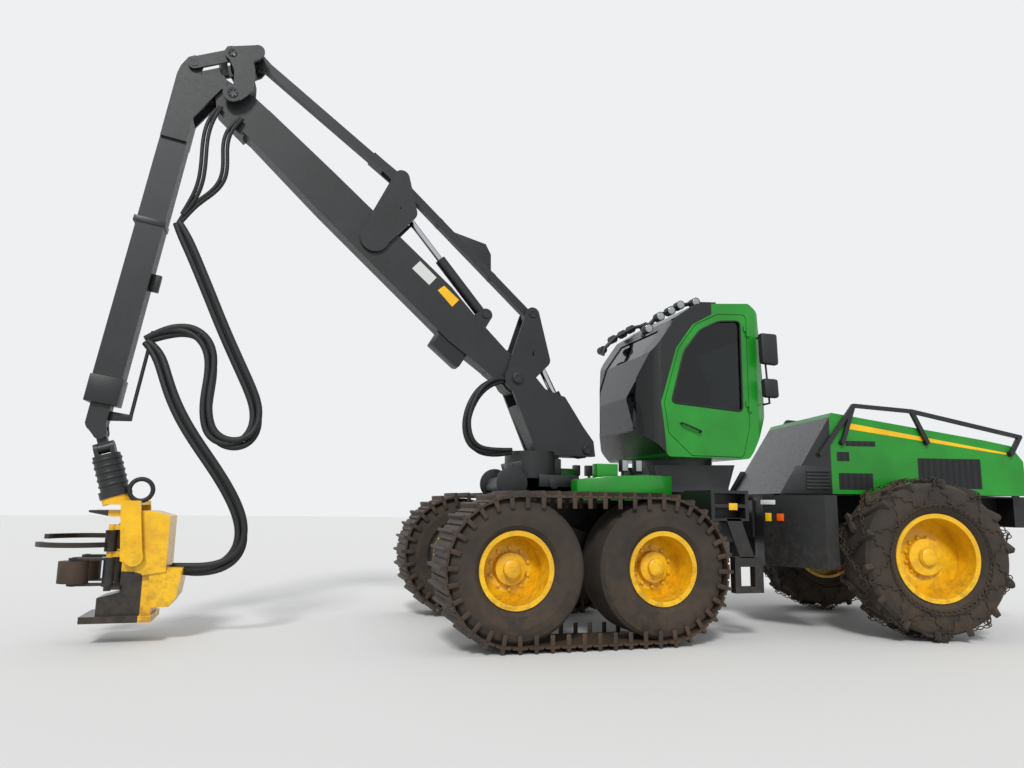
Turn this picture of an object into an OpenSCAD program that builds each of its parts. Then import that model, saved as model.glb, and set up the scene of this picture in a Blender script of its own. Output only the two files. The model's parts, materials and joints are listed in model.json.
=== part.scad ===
// Forestry harvester: front unit on a tracked bogie, slewing cab, parallel crane with a
// harvester head, and a steered rear unit with the engine. X forward, Y left, Z up.

/* [Front unit] */
// Distance between the two bogie wheels
bogie_base = 1500; // [1460:5:1540]
// Radius of a bogie tyre under its track
bogie_tyre_r = 665; // [640:5:680]
// Width of a bogie tyre
bogie_tyre_w = 600; // [560:10:620]
// Radius of the flange of a bogie rim
bogie_rim_r = 362; // [340:2:380]
// From the middle of the machine to the middle of a wheel
track_half = 1180; // [1175:5:1200]
// Height of a track plate with its grouser over the tyre
track_depth = 70; // [60:2:80]
// Number of plates in a track
track_plates = 46; // [44:1:50]
// Half the width of the front frame's main beam
frame_half = 400; // [380:5:420]
// Underside of the front frame's main beam
frame_low = 1020; // [1000:5:1040]
// Top of the front frame's main beam
frame_top = 1390; // [1370:5:1400]
// Height of the axle on which the bogies swing
bogie_pivot_z = 850; // [820:5:880]

/* [Steering] */
// From the bogie pivot back to the steering joint
joint_back = 2050; // [2040:5:2070]
// Angle of the rear unit as it stands
steer_rest = 12.6; // [0:0.2:14]
// Radius of the steering pin
steer_pin_r = 60; // [50:1:70]

/* [Rear unit] */
// From the steering joint back to the rear axle
rear_axle_back = 2000; // [1980:5:2020]
// Radius of the rear tyre at its lugs
rear_tyre_r = 822; // [800:2:830]
// Width of the rear tyre
rear_tyre_w = 600; // [560:10:620]
// Radius of the flange of the rear rim
rear_rim_r = 457; // [440:2:470]
// Thickness of the chain on the rear tyre
chain_d = 22; // [16:1:26]
// Half the width of the engine hood
hood_half = 840; // [820:5:850]
// Top of the hood at its front
hood_front_z = 2420; // [2380:10:2460]
// Top of the hood at its tail
hood_tail_z = 2080; // [2040:10:2120]
// Half the width of the rear frame
rear_half = 420; // [400:5:440]

/* [Cab] */
// From the bogie pivot back to the cab's turning axis
cab_back = 1700; // [1690:5:1720]
// Half the width of the cab
cab_half = 800; // [780:5:810]
// Underside of the cab
cab_floor_z = 1880; // [1875:5:1900]
// Thickness of the cab's walls and door
cab_wall = 50; // [40:2:60]
// Gap round the door
door_gap = 7; // [6:1:10]

/* [Crane] */
// From the bogie pivot forward to the slewing axis
slew_x = 150; // [140:5:160]
// Radius of the slewing housing
slew_r = 310; // [290:5:320]
// Underside of the crane pillar
pillar_low = 1890; // [1880:5:1900]
// Length of the main boom between its pins
boom_len = 4560; // [4500:10:4620]
// Angle of the main boom above level as it stands
boom_angle = 41.8; // [40:0.1:43]
// Half the width of the main boom
boom_half = 120; // [110:2:130]
// Thickness of a link's side plate
link_plate = 30; // [26:1:34]
// Gap between neighbouring side plates
plate_gap = 6; // [5:0.5:8]
// Radius of the main crane pins
main_pin_r = 50; // [45:1:55]
// Radius of the link pins
link_pin_r = 40; // [36:1:44]
// Running clearance of a pin in its bore
pin_gap = 0.1; // [0.05:0.01:0.1]
// Gap between faces that slide or turn on each other
seat_gap = 0.3; // [0.2:0.05:0.4]
// Angle of the stick below level as it stands
stick_angle = 81.4; // [80:0.1:82]
// From the stick's pin to the end of its outer box
stick_len = 3610; // [3560:10:3640]
// From the stick's pin forward to the middle of its outer box
stick_off = 290; // [280:2:300]
// Half the width of the stick's outer box
stick_half = 95; // [88:1:100]

/* [Head] */
// From the end of the stick's outer box to the tip pin
tip_reach = 283; // [270:1:300]
// Lean of the rotator as the head stands
rotator_lean = 17.2; // [16:0.2:19]
// Radius of the rotator
rotator_r = 125; // [115:1:130]
// Length of the rotator with its flange
rotator_len = 475; // [460:5:485]
// Half the width of the head's frame
head_half = 250; // [240:5:255]
// Height of the head's frame
head_height = 1030; // [1010:5:1040]
// Radius of a feed roller
roller_r = 130; // [120:2:134]
// Radius of the curve of a knife
knife_r = 330; // [320:2:340]

/* [Hoses] */
// Outer diameter of the big hose that loops under the stick
loop_hose_d = 76; // [60:2:80]
// Outer diameter of the head's hose bundle
head_hose_d = 60; // [50:2:66]

/* [Hidden] */
$fn = 48;

black = [0.09, 0.09, 0.1];
green = [0.13, 0.42, 0.12];
yellow = [0.93, 0.76, 0.1];
rubber = [0.14, 0.13, 0.12];
steel = [0.33, 0.3, 0.28];
glass = [0.25, 0.3, 0.32, 0.5];

// The origin lies under the middle of the machine's box.
origin_x = -487;
origin_y = 282;

// Places in the crane's plane, as [x, z].
foot_pin = [392, 2746];
along = [cos(boom_angle), sin(boom_angle)];
across = [-sin(boom_angle), cos(boom_angle)];
function on_boom(s, n) = foot_pin + s * along + n * across;
stick_pin = on_boom(boom_len, 0);
crank_pin = on_boom(boom_len - 218, 8);
mid_pin = on_boom(2228, 4);
reach_foot = on_boom(753, 300);
mid_top = mid_pin + [-272, 735];
reach_eye = mid_pin + [-378, 334];
crank_back = crank_pin + [-227, 530];
crank_front = crank_pin + [31, 457];
stick_ear = stick_pin + [239, 155];
rocker_top = foot_pin + [-188, 773];
lift_eye = foot_pin + [-315, 239];
lift_foot = [-446, 1963];
down = [cos(-stick_angle), sin(-stick_angle)];
side = [-sin(-stick_angle), cos(-stick_angle)];
function on_stick(s, n) = stick_pin + s * down + n * side;
tip_back = 57;
tip_pin = on_stick(stick_len + tip_reach, stick_off - tip_back);

// Layers of the crane's plates, from its middle outwards.
near_y = boom_half + plate_gap;
far_y = near_y + link_plate + plate_gap;
ear_w = 45;
tip_half = 100;

track_inner = bogie_tyre_r + seat_gap;
track_r = track_inner + track_depth;
wheel_z = track_r;
rear_z = rear_tyre_r + chain_d;
beam_out = track_half - bogie_tyre_w / 2 - 80;
beam_in = beam_out - 240;
pivot_y = beam_in - 15;

function arc(c, r, a0, a1, n) = [for (i = [0:n]) c + r * [cos(a0 + (a1 - a0) * i / n), sin(a0 + (a1 - a0) * i / n)]];
function unit(v) = v / norm(v);
function left(v) = [-v[1], v[0]];
function cross2(a, b) = a[0] * b[1] - a[1] * b[0];
// Where the line through p along u meets the line through q along v.
function meet(p, u, q, v) = p + u * cross2(q - p, v) / cross2(u, v);
// A convex outline, drawn anticlockwise, with each side moved in by d.
function inset(p, d) = let (n = len(p)) [for (i = [0:n - 1]) let (
    a = p[(i + n - 1) % n], b = p[i], c = p[(i + 1) % n],
    u = unit(b - a), v = unit(c - b))
    meet(b + d * left(u), u, b + d * left(v), v)];
// The same outline with its corners rounded to radius r by m short sides.
function soften(p, r, m = 4) = let (n = len(p)) [for (i = [0:n - 1]) let (
    a = p[(i + n - 1) % n], b = p[i], c = p[(i + 1) % n],
    u = unit(a - b), v = unit(c - b), bis = unit(u + v),
    half = acos(u * v) / 2, o = b + bis * r / sin(half),
    s0 = b + u * r / tan(half) - o, s1 = b + v * r / tan(half) - o,
    t0 = atan2(s0[1], s0[0]), t1 = atan2(s1[1], s1[0]),
    dt = t1 - t0 > 180 ? t1 - t0 - 360 : t1 - t0 < -180 ? t1 - t0 + 360 : t1 - t0)
    for (k = [0:m]) o + r * [cos(t0 + dt * k / m), sin(t0 + dt * k / m)]];

// Extrudes an outline drawn in X and Z from y0 to y1.
module slab(y0, y1) { translate([0, y1, 0]) rotate([90, 0, 0]) linear_extrude(y1 - y0) children(); }
// The same slab on both sides of the machine.
module slabs(y0, y1) { slab(y0, y1) children(); slab(-y1, -y0) children(); }
// Extrudes an outline drawn in Y and Z from x0 to x1.
module frame_slice(x0, x1) { translate([x0, 0, 0]) rotate([90, 0, 90]) linear_extrude(x1 - x0) children(); }
module block(lo, hi) { translate(lo) cube(hi - lo); }
module blocks(lo, hi) { block(lo, hi); block([lo[0], -hi[1], lo[2]], [hi[0], -lo[1], hi[2]]); }
// A round bar across the machine, through p.
module pin(p, r, y0, y1) { translate([p[0], y1, p[1]]) rotate([90, 0, 0]) cylinder(h = y1 - y0, r = r); }
// A flat link between two round ends.
module link(a, ra, b, rb) {
    u = unit(b - a);
    n = left(u);
    translate(a) circle(ra);
    translate(b) circle(rb);
    polygon([a + ra * n, a - ra * n, b - rb * n, b + rb * n]);
}
module hole(p, r) { translate(p) circle(r); }
// A round bar in the crane's plane, from a to b.
module rod(a, b, r) {
    d = b - a;
    translate([a[0], 0, a[1]]) rotate([0, 90 - atan2(d[1], d[0]), 0]) cylinder(h = norm(d), r = r);
}
module machine() { translate([-origin_x, -origin_y, 0]) children(); }
// Places what belongs to the rear unit, drawn with the machine straight.
module rear_unit() {
    machine() translate([-joint_back, 0, 0]) rotate([0, 0, -steer_rest]) translate([joint_back, 0, 0]) children();
}
rear_x = -joint_back - rear_axle_back;
module mirrored(right) { if (right) mirror([0, 1, 0]) children(); else children(); }

tow_r = 22;
tow_len = 60;
tow_eye_x = 720;
steer_arm = 280;
steer_back_x = -2270;
steer_z = 1210;
steer_link_r = 22;
steer_rod_r = 24;
barrel_eye = 45;
rod_eye = 32;
// Two level ears at p, welded on by a tongue that runs along back; the eye between them
// reaches half_eye above and below its middle.
module steer_ears(p, back, half_eye) {
    for (s = [0, 1]) translate([p[0], p[1], steer_z]) mirror([0, 0, s]) translate([0, 0, half_eye + seat_gap]) {
        cylinder(h = 20, r = 50);
        translate([-50, min(0, back[1]), 0]) cube([100, abs(back[1]), 20]);
    }
}
module front_frame_body() {
    // main beam with the sloped nose
    slab(-frame_half, frame_half) polygon([[620, frame_top], [-1460, frame_top], [-1460, frame_low],
        [-420, frame_low], [-300, frame_low - 60], [300, frame_low - 60], [480, frame_low + 60], [620, frame_top - 190]]);
    // deck that carries the covers
    block([-1500, -760, frame_top - 30], [560, 760, frame_top]);
    // axle housing and its round ends for the bogies
    pin([0, bogie_pivot_z], 260, -260, 260);
    pin([0, bogie_pivot_z], 170, -pivot_y, pivot_y);
    block([-180, -300, bogie_pivot_z], [180, 300, frame_low]);
    pin([0, bogie_pivot_z], 110, -beam_out + 60, beam_out - 60);
    // ears of the steering joint
    for (z = [frame_low - 200, frame_top - 90]) difference() {
        union() {
            translate([-joint_back, 0, z]) cylinder(h = 90, r = 150);
            block([-joint_back, -150, z], [-1760, 150, z + 90]);
        }
        translate([-joint_back, 0, z - 1]) cylinder(h = 92, r = steer_pin_r + pin_gap);
    }
    block([-1780, -220, frame_low - 200], [-1660, 220, frame_top]);
    slab(-220, 220) polygon([[-1460, frame_top], [-1780, frame_top], [-1780, frame_low - 200], [-1660, frame_low - 200], [-1460, frame_low]]);
    // ears and pins of the steering cylinders
    for (s = [-1, 1]) {
        steer_ears(steer_front(s), [0, -s * 70], barrel_eye);
        translate(concat(steer_front(s), steer_z - barrel_eye - 2)) cylinder(h = 2 * barrel_eye + 4, r = steer_link_r);
    }
    // towing eye on the nose, a level plate with an upright bore
    translate([tow_eye_x, 0, frame_low + 140 - tow_len / 2]) difference() {
        union() {
            translate([600 - tow_eye_x, -50, 0]) cube([tow_eye_x - 600, 100, tow_len]);
            cylinder(h = tow_len, r = 50);
        }
        translate([0, 0, -1]) cylinder(h = tow_len + 2, r = tow_r);
    }
}
module front_frame() { color(black) machine() front_frame_body(); }

module front_covers() {
    color(green) machine() {
        blocks([-1410, 440, frame_top], [-230, 800, 1690]);
        blocks([-700, 450, 1690], [-440, 700, 1780]);
        blocks([300, 440, frame_top], [560, 760, 1470]);
    }
}

beam_end_r = 215;
beam_mid_r = 260;
module bogie_beam_body() {
    difference() {
        union() {
            slab(beam_in, beam_out) {
                for (s = [-1, 1]) hole([s * bogie_base / 2, wheel_z], beam_end_r);
                hole([0, bogie_pivot_z], beam_mid_r);
                polygon([for (p = [[-1, -1], [0, -1], [1, -1], [1, 1], [0, 1], [-1, 1]])
                    p[0] == 0 ? [0, bogie_pivot_z + p[1] * (beam_mid_r - 12)]
                        : [p[0] * bogie_base / 2, wheel_z + p[1] * (beam_end_r - 12)]]);
            }
            for (s = [-1, 1]) pin([s * bogie_base / 2, wheel_z], 190, beam_out - 20, track_half - rim_back - seat_gap);
        }
        pin([0, bogie_pivot_z], 110 + pin_gap, beam_in - 1, beam_out - 59);
    }
}
module bogie_beam_left() { color(black) machine() bogie_beam_body(); }
module bogie_beam_right() { color(black) machine() mirrored(true) bogie_beam_body(); }

// Half of a tyre's section, as [distance from the axle, place across the tyre].
function tyre_half(r, w, rim) = [[rim + 6, w / 2 - 60], [rim + 50, w / 2 - 14], [rim + (r - rim) * 0.5, w / 2],
    [r - 95, w / 2 - 8], [r - 34, w / 2 - 26], [r, w / 2 - 62]];
module tyre(r, w, rim, bead) {
    h = tyre_half(r, w, rim);
    n = len(h);
    rotate([90, 0, 0]) rotate_extrude($fn = 72) polygon(concat(
        [[bead, -w / 2 + 60]], [for (p = h) [p[0], -p[1]]],
        [for (i = [n - 1:-1:0]) h[i]], [[bead, w / 2 - 60]]));
}
module bogie_tyre_pair() {
    for (s = [-1, 1]) translate([s * bogie_base / 2, track_half, wheel_z])
        tyre(bogie_tyre_r, bogie_tyre_w, bogie_rim_r, bogie_rim_r - 28);
}
module bogie_tyres_left() { color(rubber) machine() bogie_tyre_pair(); }
module bogie_tyres_right() { color(rubber) machine() mirrored(true) bogie_tyre_pair(); }

// From the middle of a wheel in to the back of its rim's disc.
rim_back = 51;
// A dished rim with its hub cap, open outwards along +Y.
module rim(r, w, hub_r) {
    disc_y = 26 - rim_back;
    rotate([90, 0, 0]) mirror([0, 0, 1]) rotate_extrude($fn = 72) polygon([
        [0, disc_y - 26], [hub_r + 60, disc_y - 26], [r - 60, disc_y - 60], [r - 60, -w / 2 + 62],
        [r - 28 - seat_gap, -w / 2 + 58], [r - 28 - seat_gap, w / 2 - 60 + seat_gap], [r, w / 2 - 60 + seat_gap],
        [r, w / 2 - 44], [r - 46, w / 2 - 50],
        [r - 52, disc_y - 20], [hub_r + 70, disc_y + 8], [hub_r + 8, disc_y + 8], [hub_r, disc_y + 74],
        [hub_r * 0.55, disc_y + 92], [hub_r * 0.5, disc_y + 120], [0, disc_y + 124]]);
}
module bogie_rim_pair() {
    for (s = [-1, 1]) translate([s * bogie_base / 2, track_half, wheel_z])
        rim(bogie_rim_r, bogie_tyre_w, 150);
}
module bogie_rims_left() { color(yellow) machine() bogie_rim_pair(); }
module bogie_rims_right() { color(yellow) machine() mirrored(true) bogie_rim_pair(); }

// A closed run round both bogie wheels at distance r from the wheel centres.
function run_len(r) = 2 * bogie_base + 2 * PI * r;
function run_point(r, d) = let (l = run_len(r), t = d - floor(d / l) * l, h = PI * r, b = bogie_base)
    t < b ? [b / 2 - t, r] : t < b + h ? let (a = 90 + (t - b) / h * 180) [-b / 2 + r * cos(a), r * sin(a)] :
    t < 2 * b + h ? [-b / 2 + (t - b - h), -r] : let (a = -90 + (t - 2 * b - h) / h * 180) [b / 2 + r * cos(a), r * sin(a)];
// Outline of the run with a plate and a grouser at each pitch: columns are the place
// along the pitch and the height over the tyre.
plate_rows = [[0.02, 10], [0.06, 28], [0.36, 28], [0.42, track_depth], [0.56, track_depth], [0.62, 28], [0.92, 28], [0.96, 10]];
module track_outline(rows) {
    pitch = run_len(track_inner) / track_plates;
    difference() {
        polygon([for (i = [0:track_plates - 1]) for (p = rows)
            run_scale(run_point(track_inner, (i + p[0]) * pitch), p[1])]);
        polygon(concat(arc([bogie_base / 2, 0], track_inner / cos(90 / 12), -90, 90, 12),
            arc([-bogie_base / 2, 0], track_inner / cos(90 / 12), 90, 270, 12)));
    }
}
// Moves a point of the run out by h.
function run_scale(q, h) = let (c = [max(-bogie_base / 2, min(bogie_base / 2, q[0])), 0], d = q - c) c + d * (norm(d) + h) / norm(d);
module track_body() {
    translate([0, 0, wheel_z]) slab(track_half - bogie_tyre_w / 2 - 22, track_half + bogie_tyre_w / 2 + 22) track_outline(plate_rows);
}
module track_left() { color(steel) machine() track_body(); }
module track_right() { color(steel) machine() mirrored(true) track_body(); }

module ladder() {
    color(black) machine() {
        for (x = [-1850, -1570]) block([x, 1060, 440], [x + 30, 1100, 1500]);
        for (z = [450, 740, 1030, 1320]) block([-1850, 1000, z], [-1540, 1140, z + 30]);
        block([-1850, 760, 1440], [-1540, 1100, 1500]);
        block([-1850, base_half, 1390], [-1800, 800, 1500]);
        block([-1590, base_half, 1390], [-1540, 800, 1500]);
    }
}

base_half = 420;
module cab_base() {
    color(steel) machine() {
        block([-2150, -base_half, frame_top], [-1250, base_half, 1720]);
        slabs(250, base_half) polygon([[-1180, 1800], [-2240, 1830], [-2150, 1560], [-1250, 1560]]);
        translate([-cab_back, 0, 1700]) cylinder(h = cab_floor_z - 1700 - seat_gap, r = 420);
    }
}

// Side outline of the cab, from the low front corner anticlockwise as seen from the right.
cab_side = [[-1180, cab_floor_z], [-900, 2180], [-850, 2560], [-1010, 3060], [-1290, 3460], [-1560, 3640],
    [-2240, 3700], [-2370, 3600], [-2500, 2440], [-2250, 1960], [-2190, cab_floor_z]];
cab_plan = [[-850, -380], [-850, 380], [-1060, cab_half], [-2330, cab_half], [-2500, 690],
    [-2500, -690], [-2330, -cab_half], [-1060, -cab_half]];
module cab_form(d) {
    intersection() {
        slab(-cab_half - 10, cab_half + 10) polygon(soften(inset(cab_side, d), 60 - d / 2));
        translate([0, 0, 1500]) linear_extrude(2500) polygon(soften(inset(cab_plan, d), 110 - d));
    }
}
door_edge = [[-1460, cab_floor_z + 20], [-1180, 2140], [-1130, 2480], [-1320, 3100], [-1540, 3390], [-1820, 3530],
    [-2200, 3560], [-2200, 2240], [-2110, cab_floor_z + 20]];
// Windscreen and rear window: back and front of the cut, its foot and top, half its width.
cab_screens = [[-1300, -700, 2230, 3360, 520], [-2600, -2350, 2580, 3480, 550]];
module cab_screen(w, gap) { frame_slice(w[0], w[1]) translate([-w[4] + gap, w[2] + gap]) square([2 * (w[4] - gap), w[3] - w[2] - 2 * gap]); }
// The door's hinge line, in plan, and the foot of each hinge.
door_pivot = [-2207, cab_half + 17];
door_hinges = [2420, 3300];
door_window = [[-1215, 2480], [-1385, 3070], [-1590, 3330], [-1840, 3455], [-2120, 3480], [-2120, 2420]];
module cab_shell() {
    color(green) machine() difference() {
        cab_form(0);
        cab_form(cab_wall);
        // doorway on the left, window on the right
        slab(cab_half - 90, cab_half + 60) polygon(soften(inset(door_edge, -door_gap), 60));
        slab(-cab_half - 60, -cab_half + 90) polygon(soften(door_window, 50));
        for (w = cab_screens) cab_screen(w, 0);
        // seats of the door's hinges
        for (z = door_hinges) block([door_pivot[0] - 33, cab_half - 15, z], [door_pivot[0], cab_half + 1, z + 60]);
    }
    color(green) machine() for (z = door_hinges) {
        block([door_pivot[0] - 33, cab_half - 16, z], [door_pivot[0], door_pivot[1], z + 60]);
        translate([door_pivot[0], door_pivot[1], z]) cylinder(h = 60, r = 16);
        translate([door_pivot[0], door_pivot[1], z]) cylinder(h = 118, r = 8);
    }
}
module cab_glass() {
    color(glass) machine() {
        intersection() {
            difference() {
                cab_form(12);
                cab_form(24);
            }
            for (w = cab_screens) cab_screen(w, seat_gap);
        }
        slab(-cab_half + 12, -cab_half + 24) polygon(soften(inset(door_window, seat_gap), 50 - seat_gap));
    }
}
module cab_door() {
    color(green) machine() difference() {
        union() {
            slab(cab_half - cab_wall, cab_half) polygon(soften(door_edge, 55));
            for (z = door_hinges) {
                block([door_pivot[0], cab_half - 10, z + 60 + seat_gap], [door_pivot[0] + 45, door_pivot[1], z + 118]);
                translate([door_pivot[0], door_pivot[1], z + 60 + seat_gap]) cylinder(h = 58 - seat_gap, r = 16);
            }
        }
        slab(cab_half - cab_wall - 1, cab_half + 1) polygon(soften(door_window, 50));
        for (z = door_hinges) translate([door_pivot[0], door_pivot[1], z]) cylinder(h = 130, r = 8 + pin_gap);
    }
}
module door_glass() {
    color(glass) machine() slab(cab_half - 30, cab_half - 18) polygon(soften(inset(door_window, seat_gap), 50 - seat_gap));
}
module operator_seat() {
    color(black) machine() {
        translate([-cab_back - 60, 0, cab_floor_z + cab_wall]) cylinder(h = 2265 - cab_floor_z - cab_wall, r = 120);
        block([-2000, -260, 2260], [-1480, 260, 2380]);
        block([-2100, -250, 2350], [-1980, 250, 3000]);
        blocks([-1900, 255, 2300], [-1420, 400, 2360]);
        blocks([-1840, 300, 2355], [-1420, 400, 2560]);
    }
}

module crane_base() {
    color(black) machine() {
        slab(-340, 340) {
            polygon([[560, frame_top], [-300, frame_top], [-260, 1640], [480, 1640], [600, 1560], [600, 1450]]);
            translate([500, 1530]) circle(110);
        }
        translate([slew_x, 0, 1600]) cylinder(h = pillar_low - 1600 - seat_gap, r = slew_r);
    }
}

pillar_side = [[150, pillar_low], [450, 2600], [520, 2760], [400, 2890], [240, 2840], [60, 2640], [-180, 2560], [-400, 2230], [-530, 2060], [-550, pillar_low]];
module pillar() {
    color(black) machine() {
        difference() {
            slabs(far_y, far_y + ear_w) { polygon(pillar_side); hole(foot_pin, 150); }
            for (p = [foot_pin, lift_foot]) pin(p, main_pin_r + 0.001, -400, 400);
        }
        pin(foot_pin, main_pin_r, -far_y - ear_w - 20, far_y + ear_w + 20);
        pin(lift_foot, main_pin_r, -far_y - ear_w - 15, far_y + ear_w + 15);
        // foot plate, open round the cylinder's eye, and front web
        difference() {
            block([-550, -far_y, pillar_low], [180, far_y, pillar_low + 40]);
            block([-560, -95, pillar_low - 1], [-310, 95, pillar_low + 41]);
        }
        translate([slew_x, 0, pillar_low]) cylinder(h = 40, r = slew_r - 20);
        slab(-far_y, far_y) polygon([[150, pillar_low + 40], [390, 2450], [360, 2460], [120, pillar_low + 40]]);
    }
}

// Half the width of a cylinder's eye and of a drawbar's.
eye_half = 60;
bar_half = 50;
// Stub pins that carry an eye between two side plates.
module stubs(p, r, y0, y1) { pin(p, r, y0, y1); pin(p, r, -y1, -y0); }
module rocker() {
    color(black) machine() {
        difference() {
            slabs(near_y, near_y + link_plate) {
                link(foot_pin, 150, lift_eye, 90);
                link(foot_pin, 140, rocker_top, 80);
                link(lift_eye, 90, rocker_top, 80);
            }
            pin(foot_pin, main_pin_r + pin_gap, -400, 400);
        }
        stubs(lift_eye, 70, eye_half + seat_gap, near_y + 1);
        pin(rocker_top, link_pin_r, -near_y - 1, near_y + 1);
        stubs(rocker_top, 60, bar_half + seat_gap, near_y + 1);
    }
}
lift_dir = unit(lift_eye - lift_foot);
lift_barrel_len = 745;
lift_rod_r = 42;
module lift_barrel() {
    color(black) machine() difference() {
        union() {
            rod(lift_foot, lift_foot + lift_barrel_len * lift_dir, 75);
            pin(lift_foot, 88, -80, 80);
        }
        pin(lift_foot, main_pin_r + pin_gap, -100, 100);
        rod(lift_foot + 110 * lift_dir, lift_foot + (lift_barrel_len + 10) * lift_dir, lift_rod_r + pin_gap);
    }
}
module lift_rod() {
    color(steel) machine() {
        rod(lift_foot + 420 * lift_dir, lift_eye - 60 * lift_dir, lift_rod_r);
        pin(lift_eye, 90, -eye_half, eye_half);
    }
}
module bar_between(a, b, half, r, ra, rb, hole_a, hole_b) {
    difference() {
        slab(-half, half) {
            u = unit(b - a);
            n = left(u);
            translate(a) circle(ra);
            translate(b) circle(rb);
            polygon([a + r * n, a - r * n, b - r * n, b + r * n]);
        }
        if (hole_a > 0) pin(a, hole_a, -half - 1, half + 1);
        if (hole_b > 0) pin(b, hole_b, -half - 1, half + 1);
    }
}
module rear_drawbar() {
    color(black) machine() bar_between(rocker_top, mid_top, bar_half, 45, 78, 78, link_pin_r + pin_gap, 0);
}
// Underside and top of the boom, as [distance from the foot pin, height over the line of pins].
boom_under = [[240, -168], [860, -235], [2870, -225], [boom_len - 660, -190], [boom_len - 560, -200]];
boom_over = [[boom_len - 560, 190], [boom_len - 1500, 215], [1250, 240], [825, 196], [190, 163]];
boom_tip = [[boom_len - 600, -235], [boom_len - 220, -228], [boom_len - 60, -92], [boom_len, -92], [boom_len, 92],
    [boom_len - 240, 150], [boom_len - 340, 185], [boom_len - 600, 196]];
module main_boom() {
    color(black) machine() difference() {
        union() {
            slab(-boom_half, boom_half) {
                polygon([for (p = concat(boom_under, boom_over)) on_boom(p[0], p[1])]);
                hole(foot_pin, 165);
                polygon([on_boom(0, -150), on_boom(300, -180), on_boom(300, 180), on_boom(0, 150)]);
            }
            slab(-tip_half, tip_half) {
                polygon([for (p = boom_tip) on_boom(p[0], p[1])]);
                hole(stick_pin, 96);
            }
            slabs(boom_half - 44, boom_half - 4) link(reach_foot, 75, on_boom(753, 100), 120);
        }
        pin(foot_pin, main_pin_r + pin_gap, -400, 400);
        pin(mid_pin, main_pin_r + pin_gap, -400, 400);
        pin(crank_pin, link_pin_r + pin_gap, -400, 400);
        pin(stick_pin, main_pin_r + pin_gap, -400, 400);
    }
    color(black) machine() pin(reach_foot, link_pin_r, -boom_half - 10, boom_half + 10);
}
reach_dir = unit(reach_eye - reach_foot);
reach_barrel_len = 826;
reach_rod_r = 36;
module reach_barrel() {
    color(black) machine() difference() {
        union() {
            rod(reach_foot, reach_foot + reach_barrel_len * reach_dir, 62);
            pin(reach_foot, 72, -60, 60);
        }
        pin(reach_foot, link_pin_r + pin_gap, -100, 100);
        rod(reach_foot + 90 * reach_dir, reach_foot + (reach_barrel_len + 10) * reach_dir, reach_rod_r + pin_gap);
    }
}
module reach_rod() {
    color(steel) machine() {
        rod(reach_foot + 390 * reach_dir, reach_eye - 60 * reach_dir, reach_rod_r);
        pin(reach_eye, 74, -eye_half, eye_half);
    }
}
module mid_rocker() {
    color(black) machine() {
        difference() {
            slabs(near_y, near_y + link_plate) {
                link(mid_pin, 160, mid_top, 90);
                link(mid_pin, 150, reach_eye, 85);
                link(reach_eye, 85, mid_top, 90);
            }
        }
        pin(mid_pin, main_pin_r, -near_y - 1, near_y + 1);
        stubs(mid_top, link_pin_r, bar_half + seat_gap, near_y + 1);
        stubs(reach_eye, 60, eye_half + seat_gap, near_y + 1);
    }
}
bar_dir = unit(crank_back - mid_top);
bar_len = norm(crank_back - mid_top);
function on_bar(s, n) = mid_top + s * bar_dir + n * left(bar_dir);
// A stretch of the front drawbar from s0 to s1, reaching h to each side of its line.
module bar_part(s0, s1, h) { polygon([on_bar(s0, -h), on_bar(s1, -h), on_bar(s1, h), on_bar(s0, h)]); }
module front_drawbar() {
    color(black) machine() difference() {
        union() {
            slabs(56, 86) { hole(mid_top, 80); link(mid_top, 55, on_bar(260, 0), 50); }
            difference() {
                slab(-86, 86) bar_part(230, bar_len - 112, 50);
                slabs(50, 90) bar_part(420, bar_len, 60);
            }
            slab(-bar_half, bar_half) link(crank_back, 70, on_bar(bar_len - 132, 0), 50);
        }
        pin(mid_top, link_pin_r + pin_gap, -200, 200);
    }
}
stick_y = tip_half + plate_gap;
knee_y = stick_y + link_plate + plate_gap;
crank_y = knee_y + link_plate + plate_gap;
// Outline of the bell crank round its pins, from the boom's pin.
crank_shape = [[60, -73], [-4, 120], [2, 266], [42, 349], [101, 440], [92, 520], [-194, 592], [-279, 566], [-290, 490], [-255, 440],
    [-186, 400], [-212, 300], [-212, 200], [-195, 71], [-150, -10], [-88, -72]];
module bell_crank() {
    color(black) machine() {
        slabs(crank_y, crank_y + link_plate) {
            polygon([for (p = crank_shape) crank_pin + p]);
            hole(crank_pin, 100);
            hole(crank_back, 70);
            hole(crank_front, 80);
        }
        pin(crank_pin, link_pin_r, -crank_y - 1, crank_y + 1);
        stubs(crank_back, 55, bar_half + seat_gap, crank_y + 1);
        pin(crank_front, link_pin_r, -crank_y - 1, crank_y + 1);
    }
}
// Two outer plates between the bell crank and the stick's ear, joined across behind the ear.
module knuckle_link() {
    u = unit(stick_ear - crank_front);
    color(black) machine() {
        difference() {
            slabs(knee_y, knee_y + link_plate) link(crank_front, 66, stick_ear, 66);
            pin(crank_front, link_pin_r + pin_gap, -400, 400);
        }
        // ends of the pin that it turns on in the stick's ear
        stubs(stick_ear, link_pin_r, knee_y + link_plate - 1, knee_y + link_plate + 5);
        slab(-knee_y - 1, knee_y + 1) polygon([for (q = [[80, -52], [150, -56], [150, 56], [80, 52]]) crank_front + q[0] * u + q[1] * left(u)]);
    }
}
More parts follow.
